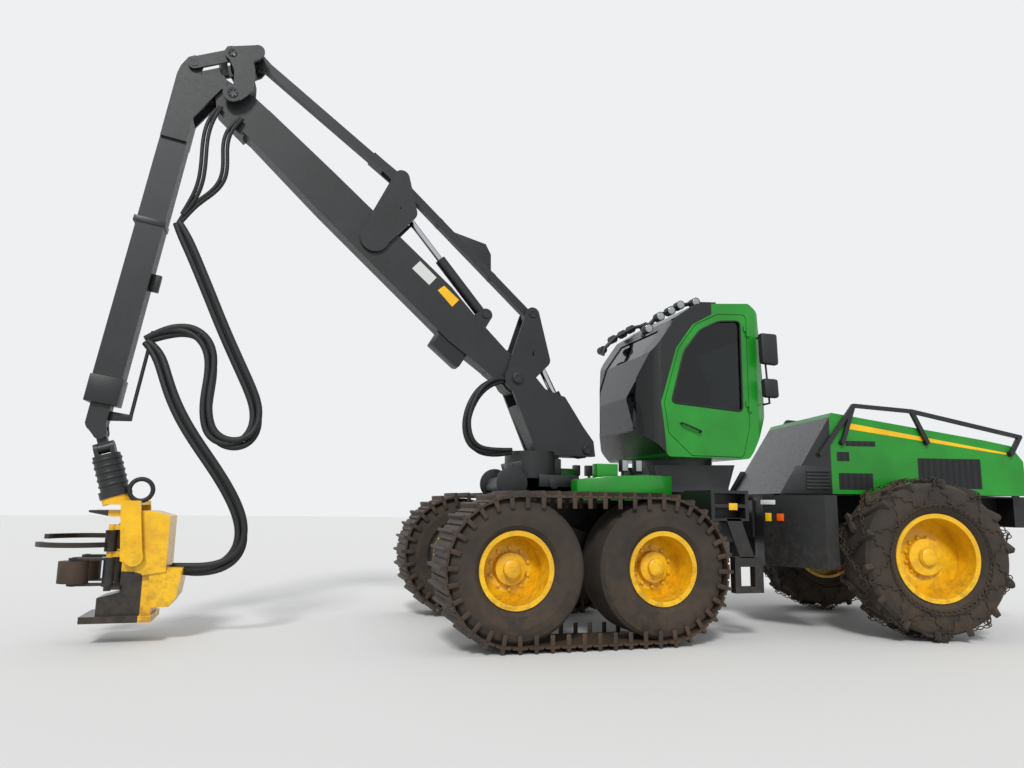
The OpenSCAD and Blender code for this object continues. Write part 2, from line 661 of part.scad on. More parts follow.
// Outlines of the stick's side plates and of its box, as [distance from the stick's pin,
// place across it, forward].
stick_back = stick_off - 148;
stick_front = stick_off + 112;
stick_root = [[0, -95], [470, stick_back], [760, stick_back], [760, stick_front], [40, stick_front], [-60, stick_front - 16],
    [-180, 334], [-221, 275], [-160, 174], [-15, 175], [-60, 75]];
stick_box = [[480, stick_back], [900, stick_back], [stick_len, stick_off - 137], [stick_len, stick_off + 137], [900, stick_front + 6],
    [480, stick_front]];
// Half the depth and half the width of the extension, its pads and the length of its guide.
bar_depth = 92;
bar_side = stick_half - 22;
pad = 6;
mouth_len = 90;
// A bar along the stick's box from s0 to s1.
module stick_bar(s0, s1, depth, half) {
    slab(-half, half) polygon([for (q = [[s0, -depth], [s1, -depth], [s1, depth], [s0, depth]]) on_stick(q[0], stick_off + q[1])]);
}
module stick() {
    color(black) machine() {
        slabs(stick_y, stick_y + link_plate) {
            hole(stick_pin, 95);
            hole(stick_ear, 88);
            polygon([for (p = stick_root) on_stick(p[0], p[1])]);
        }
        pin(stick_pin, main_pin_r, -stick_y - 1, stick_y + 1);
        stubs(stick_ear, link_pin_r, stick_y, knee_y - seat_gap);
        difference() {
            slab(-stick_half - 12, stick_half + 12) polygon([for (p = stick_box) on_stick(p[0], p[1])]);
            stick_bar(700, stick_len - mouth_len, bar_depth + pad, bar_side + pad);
            stick_bar(stick_len - mouth_len - 1, stick_len + 1, bar_depth + seat_gap, bar_side + seat_gap);
        }
    }
}
// Where the extension starts inside the stick as it stands.
bar_start = stick_len - 2080;
module extension() {
    color(steel) machine() difference() {
        union() {
            stick_bar(bar_start, stick_len + 215, bar_depth, bar_side);
            stick_bar(bar_start, bar_start + mouth_len, bar_depth + pad - seat_gap, bar_side + pad - seat_gap);
            slabs(45, bar_side) link(on_stick(stick_len + 190, stick_off), bar_depth, tip_pin, 62);
        }
        pin(tip_pin, link_pin_r + pin_gap, -200, 200);
    }
}
// Places what hangs from the tip pin, drawn straight below it.
module hanging() { translate([tip_pin[0], 0, tip_pin[1]]) rotate([0, rotator_lean, 0]) children(); }
cross_l = 150;
// From the tip pin down to the rotator's body and to its end.
rotator_top = cross_l + 70;
rotator_end = rotator_top + rotator_len - 55;
function hang(l) = tip_pin + l * [-sin(rotator_lean), -cos(rotator_lean)];
cross_pin = hang(cross_l);
module tip_link() {
    color(black) machine() hanging() {
        slab(-40, 40) { circle(58); translate([-45, -cross_l]) square([90, cross_l]); }
        pin([0, 0], link_pin_r, -bar_side, bar_side);
        translate([-50, 0, -cross_l]) rotate([0, 90, 0]) cylinder(h = 100, r = 52);
        translate([-92, 0, -cross_l]) rotate([0, 90, 0]) cylinder(h = 184, r = 30);
    }
}
module rotator() {
    color(black) machine() hanging() difference() {
        union() {
            for (s = [-1, 1]) translate([s * 73 - 20, 0, -cross_l]) {
                rotate([0, 90, 0]) cylinder(h = 40, r = 58);
                translate([0, -58, -80]) cube([40, 116, 80]);
            }
            translate([0, 0, -rotator_end + 60]) cylinder(h = rotator_end - 60 - rotator_top, r = rotator_r);
            translate([0, 0, -rotator_end]) cylinder(h = 70, r = rotator_r + 22);
        }
        translate([-150, 0, -cross_l]) rotate([0, 90, 0]) cylinder(h = 300, r = 30 + pin_gap);
    }
}
// The head's own frame: under the rotator's end, with x forward and heights from its underside.
head_x = hang(rotator_end)[0] - 77;
head_top = hang(rotator_end)[1] - 129;
head_low = head_top - head_height;
function on_head(x, h) = [head_x + x, head_low + h];
module head_plate(y0, y1, points) { slab(y0, y1) polygon([for (p = points) on_head(p[0], p[1])]); }
yoke_h = head_height + 53;
tilt_h = yoke_h - 483;
tilt_pin = on_head(-170, tilt_h);
leg_y = head_half + 10;
leg_w = 45;
module head_yoke() {
    color(yellow) machine() {
        hanging() translate([0, 0, -rotator_end - 56]) cylinder(h = 56 - seat_gap, r = rotator_r + 10);
        intersection() {
            hanging() translate([0, 0, -rotator_end - 300]) cylinder(h = 260, r = rotator_r + 10);
            block([head_x - 400, -300, head_low + yoke_h], [head_x + 400, 300, head_low + yoke_h + 400]);
        }
        slab(-leg_y - leg_w, leg_y + leg_w) polygon([for (p = [[-190, 0], [130, 0], [110, 40], [-170, 40]]) on_head(p[0], yoke_h + p[1])]);
        difference() {
            slabs(leg_y, leg_y + leg_w) {
                polygon([on_head(-190, yoke_h + 40), on_head(-250, tilt_h), on_head(-200, tilt_h - 80), on_head(-60, yoke_h - 520), on_head(-20, yoke_h + 40)]);
                hole(tilt_pin, 85);
            }
            pin(tilt_pin, tilt_pin_r + pin_gap, -500, 500);
        }
    }
}
tilt_pin_r = 45;
head_front = 130;
module head_frame() {
    color(yellow) machine() {
        // rear cover and boot
        head_plate(-head_half, head_half, [[-455, 460], [-190, 420], [-190, head_height], [-300, head_height - 5], [-455, head_height - 50]]);
        head_plate(-head_half + 20, head_half - 20, [[-600, 490], [-560, 220], [-500, 130], [-340, 130], [-300, 500]]);
        // spine and saw box
        head_plate(-head_half + 60, head_half - 60, [[-340, 60], [head_front, 60], [head_front, 220], [-60, 270], [-60, head_height], [-200, head_height], [-340, 500]]);
        block([head_x - 360, -head_half - 20, head_low], [head_x + head_front + 120, head_half + 20, head_low + 62]);
        // top plate with the fixed knife
        head_plate(-head_half + 40, head_half - 40, [[-200, head_height - 60], [60, head_height - 60], [260, head_height - 20], [260, head_height], [-200, head_height]]);
        pin(tilt_pin, tilt_pin_r, -leg_y - leg_w - 2, leg_y + leg_w + 2);
        // hinge pins of the knives and feed arms, and the brackets that hold them
        for (s = [-1, 1]) translate([knife_pivot[0], s * knife_pivot[1], head_low + 290]) cylinder(h = 610, r = hinge_r);
        for (z = head_brackets) blocks([head_x - 70, 120, head_low + z[0]], [knife_pivot[0] + 20, knife_pivot[1] + 20, head_low + z[1]]);
    }
}
knife_pivot = [head_x + 40, 235];
hinge_r = 32;
// Foot and top of each bracket: the feed arms turn over the first, the knives over the second.
head_brackets = [[300, 330], [600, 650], [850, 890]];
knife_mid = [head_x + 330, 0];
module knife(h) {
    difference() {
        union() {
            translate([knife_pivot[0], knife_pivot[1], head_low + head_brackets[1][1] + seat_gap]) cylinder(h = 196, r = 55);
            translate([0, 0, head_low + h]) linear_extrude(45) {
                polygon([for (p = concat(arc(knife_mid, knife_r, 16, 140, 12), arc(knife_mid, knife_r + 60, 140, 20, 12))) p]);
                link(knife_pivot, 55, knife_mid + (knife_r + 30) * [cos(136), sin(136)], 30);
            }
        }
        translate([knife_pivot[0], knife_pivot[1], head_low + 600]) cylinder(h = 400, r = hinge_r + pin_gap);
    }
}
module knife_left() { color(black) machine() knife(690); }
module knife_right() { color(black) machine() mirrored(true) knife(750); }
roller_at = [head_x + 330, 245];
shaft_r = 25;
// Heights of a feed arm's two plates, the thickness of one, and the ends of its roller between them.
arm_plates = [340, 570];
arm_plate_w = 22;
module feed_arm() {
    difference() {
        union() {
            translate([knife_pivot[0], knife_pivot[1], head_low + head_brackets[0][1] + seat_gap]) cylinder(h = 264, r = 50);
            for (h = arm_plates) translate([0, 0, head_low + h]) linear_extrude(arm_plate_w) link(knife_pivot, 50, roller_at, 50);
        }
        translate([knife_pivot[0], knife_pivot[1], head_low + 300]) cylinder(h = 400, r = hinge_r + pin_gap);
        translate([roller_at[0], roller_at[1], head_low + 300]) cylinder(h = 400, r = shaft_r + pin_gap);
    }
}
module feed_arm_left() { color(black) machine() feed_arm(); }
module feed_arm_right() { color(black) machine() mirrored(true) feed_arm(); }
module feed_roller() {
    translate([roller_at[0], roller_at[1], head_low + arm_plates[0] + arm_plate_w + 6])
        cylinder(h = arm_plates[1] - arm_plates[0] - arm_plate_w - 12, r = roller_r);
    translate([roller_at[0], roller_at[1], head_low + arm_plates[0] - 5])
        cylinder(h = arm_plates[1] - arm_plates[0] + arm_plate_w + 10, r = shaft_r);
}
module feed_roller_left() { color(steel) machine() feed_roller(); }
module feed_roller_right() { color(steel) machine() mirrored(true) feed_roller(); }

deck_z = 1499;
rear_wheel_y = track_half + 30;
// The hood's hinge, seen from the side, and the ears that hold it.
hood_hinge = [-5600, 1545];
hood_ear_y = 560;
module rear_frame() {
    color(black) rear_unit() {
        // tongue and pin of the steering joint
        difference() {
            union() {
                translate([-joint_back, 0, frame_low - 90]) cylinder(h = 360, r = 140);
                block([-2560, -130, frame_low - 90], [-joint_back, 130, frame_low + 270]);
            }
            translate([-joint_back, 0, 0]) cylinder(h = 2000, r = steer_pin_r - 10);
        }
        translate([-joint_back, 0, frame_low - 205]) cylinder(h = frame_top - frame_low + 200, r = steer_pin_r);
        block([-5500, -rear_half, 1000], [-2500, rear_half, 1420]);
        block([-5500, -rear_half, 1400], [-2760, rear_half, deck_z]);
        block([-5500, -800, deck_z - 15], [-2800, 800, deck_z]);
        // axle
        pin([rear_x, rear_z], 240, -300, 300);
        pin([rear_x, rear_z], 170, -700, 700);
        for (s = [0, 1]) mirror([0, s, 0]) pin([rear_x, rear_z], 190, 640, rear_wheel_y - rim_back - seat_gap);
        block([rear_x - 200, -350, rear_z], [rear_x + 200, 350, 1010]);
        // tail with the towing jaw and the ears of the hood
        block([-5950, -700, 1150], [-5500, 700, 1500]);
        difference() {
            for (z = [1200, 1310]) block([hitch_x - 60, -70, z], [-5940, 70, z + 30]);
            translate([hitch_x, 0, 1100]) cylinder(h = 400, r = tow_r);
        }
        slabs(hood_ear_y + 40 + seat_gap, hood_ear_y + 70) link(hood_hinge, 30, [hood_hinge[0], 1480], 45);
        slabs(hood_ear_y - 5, hood_ear_y + 45) hole(hood_hinge, 15);
        for (s = [-1, 1]) steer_ears([steer_back_x, s * steer_arm], [0, -s * (steer_arm - 120)], rod_eye);
    }
}
hitch_x = -6030;
function to_front(p) = [-joint_back + (p[0] + joint_back) * cos(steer_rest) + p[1] * sin(steer_rest),
    p[1] * cos(steer_rest) - (p[0] + joint_back) * sin(steer_rest)];
function steer_front(s) = [-1420, s * (frame_half + 60)];
function steer_back(s) = to_front([steer_back_x, s * steer_arm]);
// A level round bar at height z, from a to b in plan.
module level_bar(a, b, z, r) {
    d = b - a;
    translate([a[0], a[1], z]) rotate([0, 90, atan2(d[1], d[0])]) cylinder(h = norm(d), r = r);
}
module steer_barrel(s) {
    a = steer_front(s);
    u = unit(steer_back(s) - a);
    color(black) machine() difference() {
        union() {
            level_bar(a, a + 550 * u, steer_z, 40);
            translate([a[0], a[1], steer_z - barrel_eye]) cylinder(h = 2 * barrel_eye, r = 48);
        }
        translate([a[0], a[1], steer_z - 100]) cylinder(h = 200, r = steer_link_r + pin_gap);
        level_bar(a + 70 * u, a + 560 * u, steer_z, steer_rod_r + pin_gap);
    }
}
module steer_rod(s) {
    a = steer_front(s);
    b = steer_back(s);
    u = unit(b - a);
    color(steel) machine() {
        level_bar(b - 546 * u, b - 20 * u, steer_z, steer_rod_r);
        translate([b[0], b[1], steer_z - rod_eye]) cylinder(h = 2 * rod_eye, r = 48);
    }
}
module steer_barrel_left() { steer_barrel(1); }
module steer_barrel_right() { steer_barrel(-1); }
module steer_rod_left() { steer_rod(1); }
module steer_rod_right() { steer_rod(-1); }

module rear_tyre_body() { translate([rear_x, rear_wheel_y, rear_z]) tyre(rear_tyre_r + chain_d, rear_tyre_w, rear_rim_r, rear_rim_r - 28); }
module rear_tyre_left() { color(rubber) rear_unit() rear_tyre_body(); }
module rear_tyre_right() { color(rubber) rear_unit() mirrored(true) rear_tyre_body(); }
module rear_rim_body() { translate([rear_x, rear_wheel_y, rear_z]) rim(rear_rim_r, rear_tyre_w, 190); }
module rear_rim_left() { color(yellow) rear_unit() rear_rim_body(); }
module rear_rim_right() { color(yellow) rear_unit() mirrored(true) rear_rim_body(); }

module side_boxes() {
    color(black) rear_unit() for (s = [0, 1]) mirror([0, s, 0]) {
        translate([0, 0, 700]) linear_extrude(780) polygon([[-2520, rear_half], [-3140, rear_half], [-3140, 1180], [-3000, 1180], [-2520, 690]]);
    }
}
module engine_hood() {
    color(green) rear_unit() difference() {
        slab(-hood_half, hood_half) polygon([[-2720, 1500], [-3200, 2260], [-3300, hood_front_z], [-5100, hood_tail_z + 60], [-5420, hood_tail_z], [-5560, 1900], [-5560, 1510]]);
        slab(-hood_half + 40, hood_half - 40) polygon([[-2790, 1499], [-3230, 2220], [-3320, hood_front_z - 40], [-5090, hood_tail_z + 20], [-5390, hood_tail_z - 40], [-5520, 1880], [-5520, 1499]]);
    }
    // hinge ears
    color(green) rear_unit() difference() {
        slabs(hood_ear_y, hood_ear_y + 40) link(hood_hinge, 30, hood_hinge + [60, 20], 30);
        pin(hood_hinge, 15 + pin_gap, -900, 900);
    }
}
module engine_block() { color(steel) rear_unit() block([-4700, -380, deck_z], [-3400, 380, 2100]); }
// The rail's line on each side of the hood, and the feet that hold it to the hood's side.
rail_line = [[-3136, 1943], [-3546, 2503], [-4234, 2453], [-5514, 2182]];
rail_feet = [[-3136, 1943], [-3400, 2080], [-4400, 2100], [-5400, 1990]];
rail_r = 22;
module guard_rail() {
    color(black) rear_unit() {
        slabs(hood_half + 8, hood_half + 8 + 2 * rail_r) {
            for (i = [0:2]) link(rail_line[i], rail_r, rail_line[i + 1], rail_r);
            for (i = [1:3]) link(rail_feet[i], rail_r, rail_line[i], rail_r);
        }
        slabs(hood_half, hood_half + 12) for (p = rail_feet) hole(p, 34);
    }
}

front_frame();
front_covers();
bogie_beam_left();
bogie_beam_right();
bogie_tyres_left();
bogie_tyres_right();
bogie_rims_left();
bogie_rims_right();
track_left();
track_right();
ladder();
cab_base();
cab_shell();
cab_glass();
cab_door();
door_glass();
operator_seat();
crane_base();
pillar();
lift_barrel();
lift_rod();
rocker();
rear_drawbar();
main_boom();
reach_barrel();
reach_rod();
mid_rocker();
front_drawbar();
bell_crank();
knuckle_link();
stick();
extension();
tip_link();
rotator();
head_yoke();
head_frame();
knife_left();
knife_right();
feed_arm_left();
feed_arm_right();
feed_roller_left();
feed_roller_right();
rear_frame();
steer_barrel_left();
steer_barrel_right();
steer_rod_left();
steer_rod_right();
rear_tyre_left();
rear_tyre_right();
rear_rim_left();
rear_rim_right();
side_boxes();
engine_hood();
engine_block();
guard_rail();
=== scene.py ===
# Looks of the forestry harvester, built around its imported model.
import json
import math

import bpy
from mathutils import Matrix, Vector


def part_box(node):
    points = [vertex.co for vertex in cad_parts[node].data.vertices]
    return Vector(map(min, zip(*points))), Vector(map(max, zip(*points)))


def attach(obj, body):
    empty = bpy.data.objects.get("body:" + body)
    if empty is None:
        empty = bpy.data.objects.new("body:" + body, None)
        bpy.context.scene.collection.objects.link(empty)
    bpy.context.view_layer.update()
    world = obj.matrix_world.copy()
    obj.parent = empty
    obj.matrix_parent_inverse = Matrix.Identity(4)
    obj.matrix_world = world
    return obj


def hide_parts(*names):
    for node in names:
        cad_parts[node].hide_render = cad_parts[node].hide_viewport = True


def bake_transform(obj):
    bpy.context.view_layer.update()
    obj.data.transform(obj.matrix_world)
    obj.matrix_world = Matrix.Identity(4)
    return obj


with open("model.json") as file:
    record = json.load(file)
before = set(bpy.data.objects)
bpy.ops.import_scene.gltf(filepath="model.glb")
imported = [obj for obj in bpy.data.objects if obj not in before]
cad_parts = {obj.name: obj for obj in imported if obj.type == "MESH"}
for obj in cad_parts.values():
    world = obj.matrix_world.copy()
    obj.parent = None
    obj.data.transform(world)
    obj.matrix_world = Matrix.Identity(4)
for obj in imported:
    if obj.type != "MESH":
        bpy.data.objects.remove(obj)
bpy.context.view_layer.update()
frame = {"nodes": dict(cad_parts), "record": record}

nodes = frame["nodes"]
print("frame loaded:", len(nodes), "nodes")


# Camera, solved from the wheels in the 1024 x 768 photo
camera = {"eye": (3.3406, 7.9545, 1.348), "yaw": 16.6, "pitch": 9.0, "roll": 0.8,
          "focalPixels": 753, "frameWidth": 1024, "sensor": 36}


def linked(piece):
    bpy.context.scene.collection.objects.link(piece)
    return piece


def placeCamera():
    yaw, pitch, roll = (math.radians(camera[k]) for k in ("yaw", "pitch", "roll"))
    level = Vector((-math.sin(yaw), -math.cos(yaw), 0))
    right = Vector((-math.cos(yaw), math.sin(yaw), 0))
    forward = math.cos(pitch) * level + math.sin(pitch) * Vector((0, 0, 1))
    up = -math.sin(pitch) * level + math.cos(pitch) * Vector((0, 0, 1))
    side = math.cos(roll) * right + math.sin(roll) * up
    up = -math.sin(roll) * right + math.cos(roll) * up
    turn = Matrix((side, up, -forward)).transposed().to_4x4()
    data = bpy.data.cameras.new("camera")
    data.sensor_width = camera["sensor"]
    data.lens = camera["focalPixels"] / camera["frameWidth"] * camera["sensor"]
    data.clip_end = 300
    view = linked(bpy.data.objects.new("camera", data))
    view.matrix_world = Matrix.Translation(camera["eye"]) @ turn
    bpy.context.scene.camera = view


placeCamera()
print("camera placed")


# Materials. Colours are sRGB hex values; pattern sizes are in millimetres.
def colour(hexValue):
    value = hexValue.lstrip("#")
    parts = [int(value[i:i + 2], 16) / 255 for i in (0, 2, 4)]
    linear = [c / 12.92 if c <= 0.04045 else ((c + 0.055) / 1.055) ** 2.4 for c in parts]
    return (*linear, 1)


# Adds a node with its settings and links, and a colour ramp's stops. Gives one of its outputs.
def addNode(tree, kind, inputs=None, stops=(), out=0, **settings):
    node = tree.nodes.new("ShaderNode" + kind)
    for key, value in settings.items():
        setattr(node, key, value)
    for key, value in (inputs or {}).items():
        socket = node.inputs[key]
        if isinstance(value, bpy.types.NodeSocket):
            tree.links.new(value, socket)
        else:
            socket.default_value = value
    if stops:
        elements = node.color_ramp.elements
        for place, value in stops[1:-1]:
            elements.new(place)
        for element, (place, value) in zip(elements, stops):
            element.position = place
            element.color = colour(value) if isinstance(value, str) else (value, value, value, 1)
    return node.outputs[out] if node.outputs else None


def newMaterial(name, **shader):
    material = bpy.data.materials.new(name)
    material.use_nodes = True
    tree = material.node_tree
    tree.nodes.clear()
    inputs = {key.replace("_", " "): value for key, value in shader.items()}
    surface = addNode(tree, "BsdfPrincipled", inputs)
    addNode(tree, "OutputMaterial", {"Surface": surface})
    place = addNode(tree, "TexCoord", out="Object")
    return material, tree, surface.node, place


# Patterns: size in millimetres, detail and roughness of the noise.
patterns = {"patches": (420, 4, 0.55), "grain": (45, 8, 0.7), "spots": (90, 10, 0.75),
            "smears": (300, 4, 0.55)}


def patternInputs(place, name):
    millimetres, detail, roughness = patterns[name]
    return {"Vector": place, "Scale": 1000 / millimetres, "Detail": detail, "Roughness": roughness}


# A second finish beyond a slanted plane: direction, shift to positive values, distance at each
# height, and colour. The ramp's top is a height and a distance.
rampTop = (4, 8)


def secondFinish(tree, place, first, beyond):
    direction, shift, rows, hexValue = beyond
    top, reach = rampTop
    inputs = {0: place, 1: direction}
    along = addNode(tree, "VectorMath", inputs, out="Value", operation="DOT_PRODUCT")
    height = addNode(tree, "SeparateXYZ", {"Vector": place}, out="Z")
    share = addNode(tree, "Math", {0: height, 1: 1 / top}, operation="MULTIPLY")
    stops = [(z / top, value / reach) for z, value in rows]
    limit = addNode(tree, "ValToRGB", {"Fac": share}, stops)
    moved = addNode(tree, "Math", {0: along, 1: shift}, operation="ADD")
    far = addNode(tree, "Math", {0: moved, 1: 1 / reach}, operation="MULTIPLY")
    mask = addNode(tree, "Math", {0: far, 1: limit}, operation="GREATER_THAN")
    inputs = {"Factor": mask, "A": first, "B": colour(hexValue)}
    return addNode(tree, "Mix", inputs, out="Result", data_type="RGBA")


# Paint on sprayed steel sheet and weldments: even colour, faint orange peel, dust that
# settles on what faces up and mud thrown on what is low.
dirt = {"dust": "#6b5a44", "mud": "#4a3a2a", "muddiest": 0.2, "cleanFrom": 1.5}


def paintedSteel(name, base, dark, roughness, dust, mud, metallic, coat, beyond=None):
    material, tree, shader, place = newMaterial(name, Metallic=metallic, Coat_Weight=coat)
    patches = addNode(tree, "TexNoise", patternInputs(place, "patches"))
    body = addNode(tree, "ValToRGB", {"Fac": patches}, [(0.35, dark), (0.65, base)])
    if beyond:
        body = secondFinish(tree, place, body, beyond)
    normal = addNode(tree, "NewGeometry", out="Normal")
    upward = addNode(tree, "SeparateXYZ", {"Vector": normal}, out="Z")
    grain = addNode(tree, "TexNoise", patternInputs(place, "grain"))
    up = addNode(tree, "Math", {0: upward, 1: grain}, operation="MULTIPLY")
    settled = addNode(tree, "ValToRGB", {"Fac": up}, [(0.3, 0), (0.62, dust)])
    inputs = {"Factor": settled, "A": body, "B": colour(dirt["dust"])}
    dusty = addNode(tree, "Mix", inputs, out="Result", data_type="RGBA")
    height = addNode(tree, "SeparateXYZ", {"Vector": place}, out="Z")
    inputs = {"Value": height, "From Min": dirt["muddiest"], "From Max": dirt["cleanFrom"],
              "To Min": 1, "To Max": 0}
    low = addNode(tree, "MapRange", inputs)
    spots = addNode(tree, "TexNoise", patternInputs(place, "spots"))
    thrown = addNode(tree, "ValToRGB", {"Fac": spots}, [(0.45, 0), (0.6, mud)])
    amount = addNode(tree, "Math", {0: low, 1: thrown}, operation="MULTIPLY")
    inputs = {"Factor": amount, "A": dusty, "B": colour(dirt["mud"])}
    muddy = addNode(tree, "Mix", inputs, out="Result", data_type="RGBA")
    tree.links.new(muddy, shader.inputs["Base Color"])
    stops = [(0.3, roughness - 0.06), (0.75, roughness + 0.14)]
    gloss = addNode(tree, "ValToRGB", {"Fac": grain}, stops)
    rough = addNode(tree, "Math", {0: gloss, 1: amount}, operation="MAXIMUM")
    tree.links.new(rough, shader.inputs["Roughness"])
    bump = addNode(tree, "Bump", {"Strength": 0.12, "Distance": 0.002, "Height": grain})
    tree.links.new(bump, shader.inputs["Normal"])
    return material


# Enamel shines evenly, rubber, cloth and cast iron are matt, chrome mirrors and worn steel glints.
# Columns: name, colour, darker patches, roughness, dust, mud, metallic, coat.
paints = {
    "black_paint": ["satin black machine enamel", "#1c1d1f", "#141516", 0.42, 0.35, 0.5, 0, 0],
    "green_paint": ["gloss green machine enamel", "#128a1c", "#0f7a18", 0.3, 0.12, 0.5, 0, 0.15],
    "yellow_paint": ["gloss yellow machine enamel", "#f0bd12", "#dfa60c", 0.3, 0.25, 0.5, 0, 0],
    "grey_paint": ["satin grey machine enamel", "#4a4b4d", "#3b3c3e", 0.45, 0.35, 0.5, 0, 0],
    "tyre": ["vulcanised rubber caked with mud", "#3a322b", "#2a2521", 0.85, 0.5, 0.8, 0, 0],
    "track_steel": ["forged track steel with dried mud", "#4a3a2e", "#2f2823", 0.6, 0.35, 0.5,
                    0.3, 0],
    "seat_cloth": ["woven seat cloth", "#26272a", "#1d1e20", 0.9, 0, 0, 0, 0],
    "chromed_rod": ["hard chromed steel rod", "#c9cbcf", "#bfc1c5", 0.12, 0, 0, 1, 0],
    "engine_iron": ["cast iron", "#3c3d3f", "#303133", 0.6, 0.35, 0.5, 0, 0],
    "knife_steel": ["hardened knife steel, worn", "#4b4744", "#2b2927", 0.38, 0.35, 0.5, 0.8, 0],
    "hose_rubber": ["braided hose cover", "#17181a", "#101112", 0.6, 0.1, 0, 0, 0],
}
look = {slot: paintedSteel(*facts) for slot, facts in paints.items()}


# Tinted laminated glass: dark, clear and smooth.
def tintedGlass():
    material, tree, shader, place = newMaterial(
        "tinted laminated glass", Roughness=0.03, IOR=1.45, Transmission_Weight=1.0, Metallic=0)
    smears = addNode(tree, "TexNoise", patternInputs(place, "smears"))
    tint = addNode(tree, "ValToRGB", {"Fac": smears}, [(0.3, "#3c4648"), (0.7, "#4d5a5c")])
    tree.links.new(tint, shader.inputs["Base Color"])
    return material


# Perforated steel sheet: round holes at 8 mm spacing, drawn twice as coarse to show.
# The holes are not cut: they are near-black spots of painted shade on the grey sheet.
perforation = {"spacing": 16, "stops": [(0.3, "#050505"), (0.36, "#2c2d2e")]}


def perforatedSheet():
    material, tree, shader, place = newMaterial("perforated steel sheet with painted shade in its holes", Metallic=0.6,
                                                Roughness=0.5)
    inputs = {"Vector": place, "Scale": 1000 / perforation["spacing"], "Randomness": 0.0}
    holes = addNode(tree, "TexVoronoi", inputs)
    # Near-black painted shade in the holes, the sheet's own grey between them.
    sheet = addNode(tree, "ValToRGB", {"Fac": holes}, perforation["stops"])
    tree.links.new(sheet, shader.inputs["Base Color"])
    return material


# Smooth lenses with sharp highlights, and rubber, ABS and plates with an even soft sheen.
# Columns: name, colour, settings of the shader.
plainFinishes = {
    "lamp_lens": ["smoked polycarbonate lens", "#8d9496",
                  {"Roughness": 0.12, "IOR": 1.58, "Coat_Weight": 0.5}],
    "amber_lens": ["amber reflector lens", "#e0560a", {"Roughness": 0.2, "IOR": 1.5}],
    "seal_rubber": ["moulded seal rubber", "#101112", {"Roughness": 0.65}],
    "moulded_plastic": ["moulded black ABS", "#17181a", {"Roughness": 0.5}],
    "white_plate": ["bare white plate", "#c9cac8", {"Roughness": 0.4}],
}
look["window_glass"] = tintedGlass()
look["perforated_sheet"] = perforatedSheet()
for key, (name, hexValue, shader) in plainFinishes.items():
    look[key] = newMaterial(name, Base_Color=colour(hexValue), **shader)[0]
slotOf = {s["node"]: s["material_slot"] for s in frame["record"]["subparts"]}
for name, node in nodes.items():
    node.data.materials.clear()
    node.data.materials.append(look[slotOf[name]])
print("materials made:", len(look))


# The machine's own axes: x forward and y left from the ground under the bogie's pivot. The rear
# unit is drawn straight and turned with its joint.
machine = {"place": (0.487, -0.282, 0), "joint": Vector((-2.05, 0, 0)), "turn": -12.6}
frontUnit = Matrix.Translation(machine["place"])
rearUnit = (frontUnit @ Matrix.Translation(machine["joint"])
            @ Matrix.Rotation(math.radians(machine["turn"]), 4, "Z")
            @ Matrix.Translation(-machine["joint"]))
rearAxle = {"x": -4.05, "y": 1.21, "z": 0.844}
bogieAxles = {"x": (-0.75, 0.75), "y": 1.18, "z": 0.7353}
sides = ((1, "left"), (-1, "right"))
bothWays = (1, -1)


def setMode(mode):
    bpy.ops.object.mode_set(mode=mode)


def leaveEdit():
    setMode("OBJECT")


def startPiece(kind, **settings):
    if bpy.context.object and bpy.context.object.mode != "OBJECT":
        leaveEdit()
    bpy.ops.object.select_all(action="DESELECT")
    getattr(bpy.ops.mesh, "primitive_" + kind + "_add")(**settings)
    return bpy.context.object


def useModifier(piece, kind, **settings):
    modifier = piece.modifiers.new(kind.lower(), kind)
    for key, value in settings.items():
        setattr(modifier, key, value)
    bpy.context.view_layer.objects.active = piece
    bpy.ops.object.modifier_apply(modifier=modifier.name)


def bevelled(piece, width, segments=2, **settings):
    useModifier(piece, "BEVEL", width=width, segments=segments, **settings)
    return piece


def cuboid(size):
    piece = startPiece("cube", size=1)
    piece.scale = size
    bpy.ops.object.transform_apply()
    return piece


def cylinder(vertices, radius, depth, **place):
    return startPiece("cylinder", vertices=vertices, radius=radius, depth=depth, **place)


def selectAll():
    setMode("EDIT")
    bpy.ops.mesh.select_all(action="SELECT")


def selectFaces(piece, test=lambda face: face.normal.z > 0.9):
    bpy.context.view_layer.objects.active = piece
    setMode("EDIT")
    bpy.ops.mesh.select_all(action="DESELECT")
    leaveEdit()
    for face in piece.data.polygons:
        face.select = test(face)
    setMode("EDIT")
    bpy.ops.mesh.select_mode(type="FACE")


# Steps in from the rim of the top face, then up or down, once for each pair.
def stepTop(piece, *steps):
    selectFaces(piece)
    for inset, rise in steps:
        bpy.ops.mesh.inset(thickness=inset)
        if rise:
            bpy.ops.transform.translate(value=(0, 0, rise))
    leaveEdit()


def selectOnly(pieces):
    bpy.ops.object.select_all(action="DESELECT")
    for piece in pieces:
        piece.select_set(True)
    bpy.context.view_layer.objects.active = pieces[0]


def copies(pattern, places):
    made = []
    for place in places:
        twin = pattern.copy()
        twin.data = pattern.data.copy()
        linked(twin).matrix_world = place @ pattern.matrix_world
        made.append(twin)
    bpy.data.objects.remove(pattern)
    return made


def joined(parts):
    selectOnly(parts)
    if len(parts) > 1:
        bpy.ops.object.join()
    return bpy.context.object


def finished(parts, name, body, slot="black_paint", unit=frontUnit, material=None, smooth=40):
    piece = joined(parts if isinstance(parts, list) else [parts])
    piece.name = name
    if unit is not None:
        piece.matrix_world = unit @ piece.matrix_world
    bpy.ops.object.transform_apply()
    if smooth:
        bpy.ops.object.shade_smooth_by_angle(angle=math.radians(smooth))
    piece.data.materials.clear()
    piece.data.materials.append(look[material or slot])
    if body:
        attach(piece, body)
    return piece


